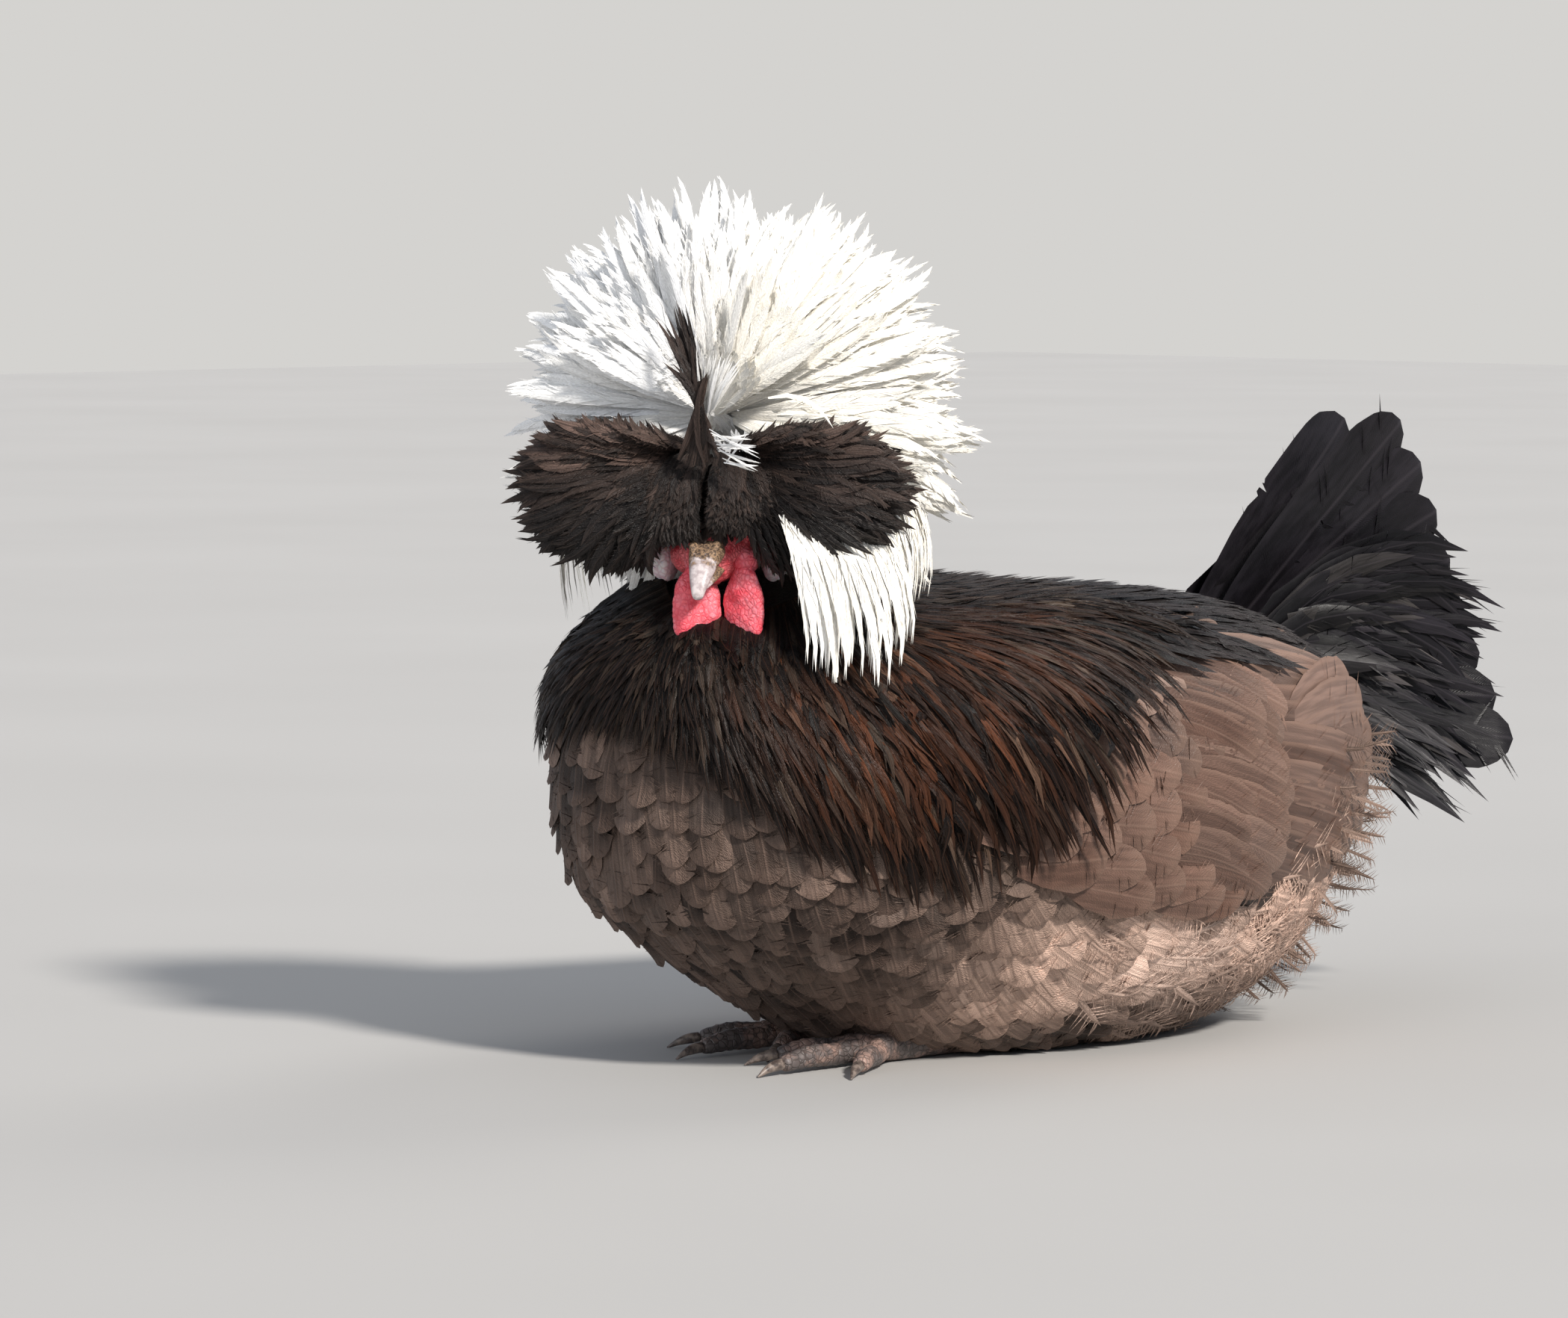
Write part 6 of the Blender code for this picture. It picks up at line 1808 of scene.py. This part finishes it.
def grow_face_coat():
    """Short dark feathers on the brow, the cheeks, the throat and the nape."""
    draw = random.Random(808)
    face = Plumage("face_feathers", PAINT_PUFF, "dark_plume", 30)
    tree = BVHTree.FromPolygons(*skull_parts())
    kept = []
    for _ in range(FACE_TRIES):
        way = Vector((draw.gauss(0, 1), draw.gauss(0, 1), draw.gauss(0, 1))).normalized()
        place = tree.ray_cast(HEAD_MIDDLE + way * 0.08, -way)[0]
        if bareness(place) > 0.3 or any((place - other).length < FACE_SPACING for other in kept):
            continue
        kept.append(place)
        local = place - HEAD_MIDDLE
        ahead, aside, up = local.dot(FORWARD), local.dot(LEFT), local.dot(UP)
        brow = smooth(-0.004, 0.004, ahead) * smooth(0.003, 0.006, up)
        flow = (
            FORWARD * 0.9 - UP * 0.5 + LEFT * aside * 110
        ) * brow - (FORWARD * 0.5 + UP * 0.6) * (1 - brow)
        long = blend(draw.uniform(0.008, 0.012), draw.uniform(0.007, 0.010), brow)
        points, outs = [], []
        for k, lift in enumerate((-0.0006, 0.0006, 0.0012, 0.0014 + 0.0012 * draw.random())):
            ground, out, _, _ = tree.find_nearest(place + flow.normalized() * long * k / 3)
            out = out if out.dot(ground - HEAD_MIDDLE) > 0 else -out
            points.append(ground + out * lift)
            outs.append(out)
        look = (draw.random(), 0.6 * draw.random() * brow, 0.0)
        seat = (0.5 + 12 * aside, 0.5 + 12 * ahead)
        face.lay(points, outs, draw.uniform(0.0016, 0.0026), "lance", draw.randrange(4), look, seat)
    face.make()


def merged(name, objects):
    """Several finished objects as one."""
    with bpy.context.temp_override(active_object=objects[0], selected_editable_objects=objects):
        bpy.ops.object.join()
    objects[0].name = name
    return objects[0]


def paint_all(obj, paint):
    obj.data.materials.clear()
    obj.data.materials.append(paint)


def beak_parts(stations, around=20):
    rings = []
    for f, wide, top, bottom in stations:
        fall = BEAK_DROOP * ((f - BEAK_ROOT) / BEAK_LENGTH) ** 2
        middle, tall = (top + bottom) / 2, (top - bottom) / 2
        rings.append([
            on_head(f, wide * power(sine(18 * i), 0.9), middle - fall + tall * power(cosine(18 * i), 0.9))
            for i in range(around)
        ])
    first = sum(rings[0], Vector()) / around
    last = sum(rings[-1], Vector()) / around + FORWARD * 0.0005 - UP * 0.0004
    return loft_parts(rings, first, last)


def finer(stations, steps=4):
    """Rows of stations with smooth ones between them."""
    made = []
    for k in range((len(stations) - 1) * steps + 1):
        f = blend(stations[0][0], stations[-1][0], k / ((len(stations) - 1) * steps))
        made.append((f, *(curve_through([(row[0], row[c]) for row in stations], f) for c in (1, 2, 3))))
    return made


def make_beak():
    """Both horns, the upper with raised nostrils and a hooked tip over the lower."""
    upper = joined([beak_parts(finer((
        (0.0122, 0.0052, 0.0038, -0.0030), (0.0175, 0.0049, 0.0036, -0.0030),
        (0.0220, 0.0040, 0.0030, -0.0030), (0.0262, 0.0031, 0.0020, -0.0030),
        (0.0292, 0.0023, 0.0006, -0.0032), (0.0310, 0.0016, -0.0010, -0.0036),
    )))] + [
        ball_parts(on_head(0.0172, 0.0032 * s, 0.0020), (0.0036, 0.0016, 0.0018), (FORWARD, LEFT, UP), 8, 12)
        for s in (1, -1)
    ])
    lower = beak_parts(finer((
        (0.0122, 0.0048, -0.0034, -0.0066), (0.0175, 0.0044, -0.0034, -0.0064),
        (0.0220, 0.0034, -0.0034, -0.0058), (0.0258, 0.0018, -0.0035, -0.0050),
    )))
    for name, parts in (("beak_upper", upper), ("beak_lower", lower)):
        horn = remeshed(mesh_object(f"{name}_horn", *parts), 0.00034, 3)
        for vert in horn.data.vertices:
            for s in (1, -1):
                away = vert.co - on_head(0.0182, 0.0046 * s, 0.0020)
                pit = (away.dot(FORWARD) / 0.0017) ** 2 + (away.dot(UP) / 0.0008) ** 2
                if pit < 1 and abs(away.dot(LEFT)) < 0.0022:
                    vert.co = vert.co - LEFT * s * 0.0011 * (1 - pit)
        along = [((v.co - HEAD_MIDDLE).dot(FORWARD) - BEAK_ROOT) / BEAK_LENGTH for v in horn.data.vertices]
        set_number(horn.data, "along", along)
        paint_all(horn, PAINT_HORN)
        finish_piece(horn, [name])


def make_eyes():
    for side, where in WHERE.items():
        f, l, u = EYE_PLACE
        centre = on_head(f, l * side, u)
        out = (LEFT * side + FORWARD * 0.35 + UP * 0.1).normalized()
        across = out.cross(RISE).normalized()
        eye = mesh_object(
            f"eyeball_{where}",
            *ball_parts(centre, [EYE_RADIUS] * 3, (across, across.cross(out), out), 30, 32)
        )
        rings = [math.degrees((v.co - centre).angle(out)) for v in eye.data.vertices]
        set_number(eye.data, "ring", rings)
        paint_all(eye, PAINT_EYE)
        finish_piece(eye, [f"eye_{where}"])


def crumpled(obj, fine, broad, seed=0.0):
    """Pebbles and creases of bare skin, pushed along its normals."""
    for vert in obj.data.vertices:
        place = vert.co + Vector((seed, 0, 0))
        push = noise.noise(place * 1100) * fine + noise.noise(place * 260) * broad
        vert.co = vert.co + vert.normal * push


def make_wattle(side):
    """A hanging flap: a broad blade, a fold down its front edge, bulbs at its hem, and fine pebbles."""
    where = WHERE[side]
    top, wide, deep = wattle_frame(side)
    axes = (wide, deep, RISE)
    middle = top - RISE * 0.0125
    parts = [
        ball_parts(middle, (0.0025, 0.0070, 0.0128), axes, 24, 32),
        ball_parts(middle - deep * 0.0030 + wide * 0.0009, (0.0024, 0.0030, 0.0088), axes, 16, 20),
        ball_parts(middle + deep * 0.0030 + wide * 0.0007, (0.0023, 0.0030, 0.0086), axes, 16, 20),
        ball_parts(top + RISE * 0.0004 - FORWARD * 0.0020, (0.0030, 0.0042, 0.0036), axes, 12, 16),
    ]
    flap = remeshed(mesh_object(f"wattle_{where}_flap", *joined(parts)), 0.00042, 8)
    crumpled(flap, 0.00018, 0.00055, side)
    paint_all(flap, PAINT_RED)
    finish_piece(flap, [f"wattle_{where}"])


def make_earlobe(side):
    where = WHERE[side]
    middle = on_head(0.0015, 0.0148 * side, -0.0078)
    axes = (LEFT, FORWARD, UP)
    parts = [ball_parts(middle, (0.0030, 0.0054, 0.0058), axes, 14, 20)]
    for k in (-1, 1):
        place = middle + LEFT * side * 0.0020 + FORWARD * 0.0026 * k
        parts.append(ball_parts(place, (0.0022, 0.0016, 0.0046), axes, 10, 14))
    lobe = remeshed(mesh_object(f"earlobe_{where}_skin", *joined(parts)), 0.00040, 5)
    crumpled(lobe, 0.00012, 0.00020, 2 * side)
    paint_all(lobe, PAINT_LOBE)
    finish_piece(lobe, [f"earlobe_{where}"])


# The legs.

def tube_parts(path, radii, around=14):
    """A rounded rod along a path, flattened where it would pass the floor."""
    rings = []
    for i, point in enumerate(path):
        ahead = (path[min(i + 1, len(path) - 1)] - path[max(i - 1, 0)]).normalized()
        out = ahead.cross(RISE).normalized()
        rise = out.cross(ahead).normalized()
        ring = [
            point + (out * cosine(360 * k / around) + rise * sine(360 * k / around)) * radii[i]
            for k in range(around)
        ]
        rings.append([Vector((p.x, p.y, max(p.z, SOLE))) for p in ring])
    begin = path[0] - (path[1] - path[0]).normalized() * radii[0] * 0.6
    end = path[-1] + (path[-1] - path[-2]).normalized() * radii[-1] * 0.6
    begin.z, end.z = max(begin.z, SOLE), max(end.z, SOLE)
    return loft_parts(rings, begin, end)


def fine_path(path, radii, steps, swell=0.0):
    """A path with more places on it; swell raises a ridge at each scale."""
    lengths = list(range(len(path)))
    made, widths = [], []
    count = (len(path) - 1) * steps
    for k in range(count + 1):
        x = (len(path) - 1) * k / count
        made.append(Vector([curve_through([(n, path[n][axis]) for n in lengths], x) for axis in range(3)]))
        radius = curve_through([(n, radii[n]) for n in lengths], x)
        widths.append(radius * (1 + swell * (k % 3 == 1)))
    return made, widths


def make_leg(side):
    """The shank laid back under the belly, its spur and three toes with raised scales, and the claws."""
    where = WHERE[side]
    x, fore = FOOT_X[side], FOOT_Y[side]
    shank = [
        Vector((x, 0.030, 0.0052)), Vector((x, 0.018, 0.0048)), Vector((x, (fore + 0.018) / 2, 0.0044)),
        Vector((x, fore + 0.004, 0.0046)), Vector((x, fore - 0.003, 0.0046)),
    ]
    spur = [
        Vector((x - 0.002 * side, fore + 0.020, 0.0045)), Vector((x - 0.0065 * side, fore + 0.022, 0.0040)),
    ]
    parts = [tube_parts(*fine_path(shank, (0.0056, 0.0050, SHANK_RADIUS, 0.0050, 0.0046), 9, 0.05))]
    parts.append(tube_parts(*fine_path(spur, (0.0022, 0.0014), 4)))
    for toe in TOE_LENGTHS:
        line, _ = toe_line(side, toe)
        path, radii = fine_path(line, (0.0040, 0.0036, 0.0031, 0.0030, TOE_END), 9, 0.10)
        parts.append(tube_parts(path, radii))
    leg = remeshed(mesh_object(f"leg_{where}_skin", *joined(parts)), 0.00060, 1)
    for vert in leg.data.vertices:
        vert.co.z = max(vert.co.z, 0.0001)
    paint_all(leg, PAINT_LEG)
    finish_piece(leg, [f"leg_{where}"])
    for toe in TOE_LENGTHS:
        line, ahead = toe_line(side, toe)
        root = line[-1] + ahead * (TOE_END * 0.6 + CLAW_ROOT * 0.6 + GAP - CLAW_SUNK)
        path = [root + ahead * (CLAW_LENGTH + CLAW_SUNK) * k / 3 - RISE * 0.0003 * k * k for k in range(4)]
        path, radii = fine_path(path, (CLAW_ROOT, 0.0015, 0.0010, 0.0003), 5)
        claw = mesh_object(f"claw_{where}_{toe}_horn", *tube_parts(path, radii))
        paint_all(claw, PAINT_CLAW)
        finish_piece(claw, [f"claw_{where}_{toe}"])


# The room.

def facing(obj, azimuth, high, far, middle):
    """Puts a lamp or a camera into the scene, far out from a place and turned to it."""
    bpy.context.scene.collection.objects.link(obj)
    back = Vector((sine(azimuth) * cosine(high), -cosine(azimuth) * cosine(high), sine(high)))
    obj.location = middle + back * far
    obj.rotation_euler = (-back).to_track_quat("-Z", "Y").to_euler()
    return obj


def make_room():
    floor = mesh_object("floor", [(-6, -6, 0), (6, -6, 0), (6, 6, 0), (-6, 6, 0)], [(0, 1, 2, 3)], False)
    if floor.data.polygons[0].normal.z < 0:
        floor.data.flip_normals()
    paint_all(floor, floor_paint())
    world = bpy.data.worlds.new("studio")
    bpy.context.scene.world = world
    world.use_nodes = True
    tree = world.node_tree
    sky = tree.nodes["Background"]
    sky.inputs[0].default_value = (0.78, 0.86, 1.0, 1.0)
    sky.inputs[1].default_value = 0.45
    seen = tree.nodes.new("ShaderNodeBackground")
    seen.inputs[0].default_value = (0.66, 0.65, 0.63, 1.0)
    seen.inputs[1].default_value = 1.0
    choose = tree.nodes.new("ShaderNodeMixShader")
    tree.links.new(tree.nodes.new("ShaderNodeLightPath").outputs["Is Camera Ray"], choose.inputs[0])
    tree.links.new(sky.outputs[0], choose.inputs[1])
    tree.links.new(seen.outputs[0], choose.inputs[2])
    tree.links.new(choose.outputs[0], tree.nodes["World Output"].inputs[0])
    lamps = (
        ("key", 80, 38, 4.4, 7.0, (1.0, 0.955, 0.90)), ("fill", 5, 24, 0.55, 50.0, (0.96, 0.98, 1.0)),
        ("rim", 185, 38, 0.6, 30.0, (1.0, 0.97, 0.92)),
    )
    for name, azimuth, high, strength, angle, colour in lamps:
        data = bpy.data.lights.new(name, "SUN")
        data.energy, data.angle, data.color = strength, math.radians(angle), colour
        facing(bpy.data.objects.new(name, data), azimuth, high, 2, Vector())
    bpy.context.scene.view_settings.view_transform = "Standard"


CAMERA_AZIMUTH = 47
CAMERA_RISE = 4
CAMERA_FAR = 1.9
CAMERA_LENS = 152
CAMERA_AIM = Vector((-0.0304, -0.0326, 0.1105))


def make_camera():
    data = bpy.data.cameras.new("camera")
    data.lens, data.sensor_width = CAMERA_LENS, 36
    camera = bpy.data.objects.new("camera", data)
    facing(camera, CAMERA_AZIMUTH, CAMERA_RISE, CAMERA_FAR, CAMERA_AIM)
    bpy.context.scene.camera = camera


VANE_MARKS = vane_group()
MOTTLE = mottle_group()
# The crest's cream second colour is painted warm light on the side that faces the key lamp, and random tone in the
# hanging locks.
PAINT_WHITE = feather_paint(
    "crest_white", (0.90, 0.90, 0.90), (0.93, 0.89, 0.80), (0.9, 0.9, 0.9), (0.95, 0.94, 0.90),
    barbs=26.0, shaft_share=0.2, edge_share=0.1, rough=0.6, sheen=0.1, gloss=0.2, strands=0.12, spread=0.06,
    relief=0.35,
)
# The puff's brown second colour is partly painted highlight on upward slopes, and random tone elsewhere.
PAINT_PUFF = feather_paint(
    "crest_dark", (0.010, 0.008, 0.0075), (0.085, 0.055, 0.044), (0.3, 0.25, 0.22), (0.09, 0.06, 0.045),
    barbs=24.0, shaft_share=0.2, edge_share=0.1, rough=0.45, sheen=0.0, gloss=0.22, strands=0.9, spread=0.8,
)
# The hackle's chestnut second colour is painted gloss on the side that faces the key lamp.
PAINT_HACKLE = feather_paint(
    "hackle", (0.0034, 0.0024, 0.0021), (0.060, 0.020, 0.0085), (0.35, 0.25, 0.18), (0.085, 0.036, 0.018),
    barbs=40.0, shaft_share=0.3, edge_share=0.08, rough=0.40, sheen=0.0, gloss=0.15, strands=1.0,
    spread=0.9, relief=0.4,
)
PAINT_BROWN = feather_paint(
    "body_brown", (0.0195, 0.0115, 0.0082), (0.58, 0.40, 0.315), (0.66, 0.50, 0.42), (0.20, 0.13, 0.10),
    barbs=34.0, shaft_share=0.30, edge_share=0.30, rough=0.6, sheen=0.02, gloss=0.2, strands=0.5,
    spread=0.6,
)
PAINT_WING = feather_paint(
    "wing_covert", (0.010, 0.0095, 0.0095), (0.130, 0.070, 0.050), (0.44, 0.33, 0.28), (0.25, 0.16, 0.12),
    barbs=36.0, shaft_share=0.30, edge_share=0.40, rough=0.45, sheen=0.0, gloss=0.25, strands=0.35,
    spread=0.35, relief=0.3,
)
PAINT_FLIGHT = feather_paint(
    "wing_flight", (0.020, 0.012, 0.0095), (0.105, 0.055, 0.038), (0.44, 0.33, 0.28), (0.24, 0.15, 0.11),
    barbs=90.0, shaft_share=0.40, edge_share=0.50, rough=0.40, sheen=0.0, gloss=0.25, strands=0.4,
    spread=0.4, relief=0.2,
)
PAINT_SADDLE = feather_paint(
    "saddle", (0.0035, 0.0029, 0.0032), (0.021, 0.014, 0.0135), (0.3, 0.25, 0.22), (0.08, 0.06, 0.06),
    barbs=40.0, shaft_share=0.35, edge_share=0.12, rough=0.38, sheen=0.0, gloss=0.20, strands=0.9,
    spread=0.8, relief=0.4,
)
# The tail's bluish grey second colour is painted sheen on the fan's upper feathers, and random tone in the lances.
PAINT_TAIL = feather_paint(
    "tail", (0.0026, 0.0023, 0.0030), (0.011, 0.0095, 0.012), (0.45, 0.40, 0.36), (0.05, 0.043, 0.050),
    barbs=110.0, shaft_share=0.3, edge_share=0.10, rough=0.34, sheen=0.0, gloss=0.18, strands=0.7,
    spread=0.7, relief=0.2,
)
PAINT_RED = bare_paint("red_skin", (0.86, 0.095, 0.13), (0.95, 0.28, 0.33), (0.62, 0.03, 0.06), 900.0, 0.5)
PAINT_LOBE = bare_paint("lobe_skin", (0.78, 0.58, 0.62), (0.86, 0.83, 0.85), (0.60, 0.32, 0.38), 700.0, 0.4)
PAINT_HORN = horn_paint()
PAINT_CLAW = claw_paint()
PAINT_LEG = leg_paint()
PAINT_EYE = eye_paint()
SHAPES = shape_collection()
FEATHERS = feather_tree()


def make_bird():
    carrier = Carrier()
    skin = make_skin(carrier)
    paint_all(skin, skin_paint())
    finish_piece(skin, ["torso", "head"])
    make_beak()
    make_eyes()
    for side in (1, -1):
        make_wattle(side)
        make_earlobe(side)
        make_leg(side)
    grow_body_coat(carrier)
    grow_face_coat()
    grow_parting()
    for side in (1, -1):
        grow_wing(side)
    grow_hackles(carrier)
    grow_saddle(carrier)
    for side in (1, -1):
        grow_tail(side)
        grow_dark_puff(side)
    grow_white_crest(carrier)


make_room()
make_camera()
make_bird()
for shape in list(SHAPES.objects):
    bpy.data.objects.remove(shape)
bpy.data.collections.remove(SHAPES)
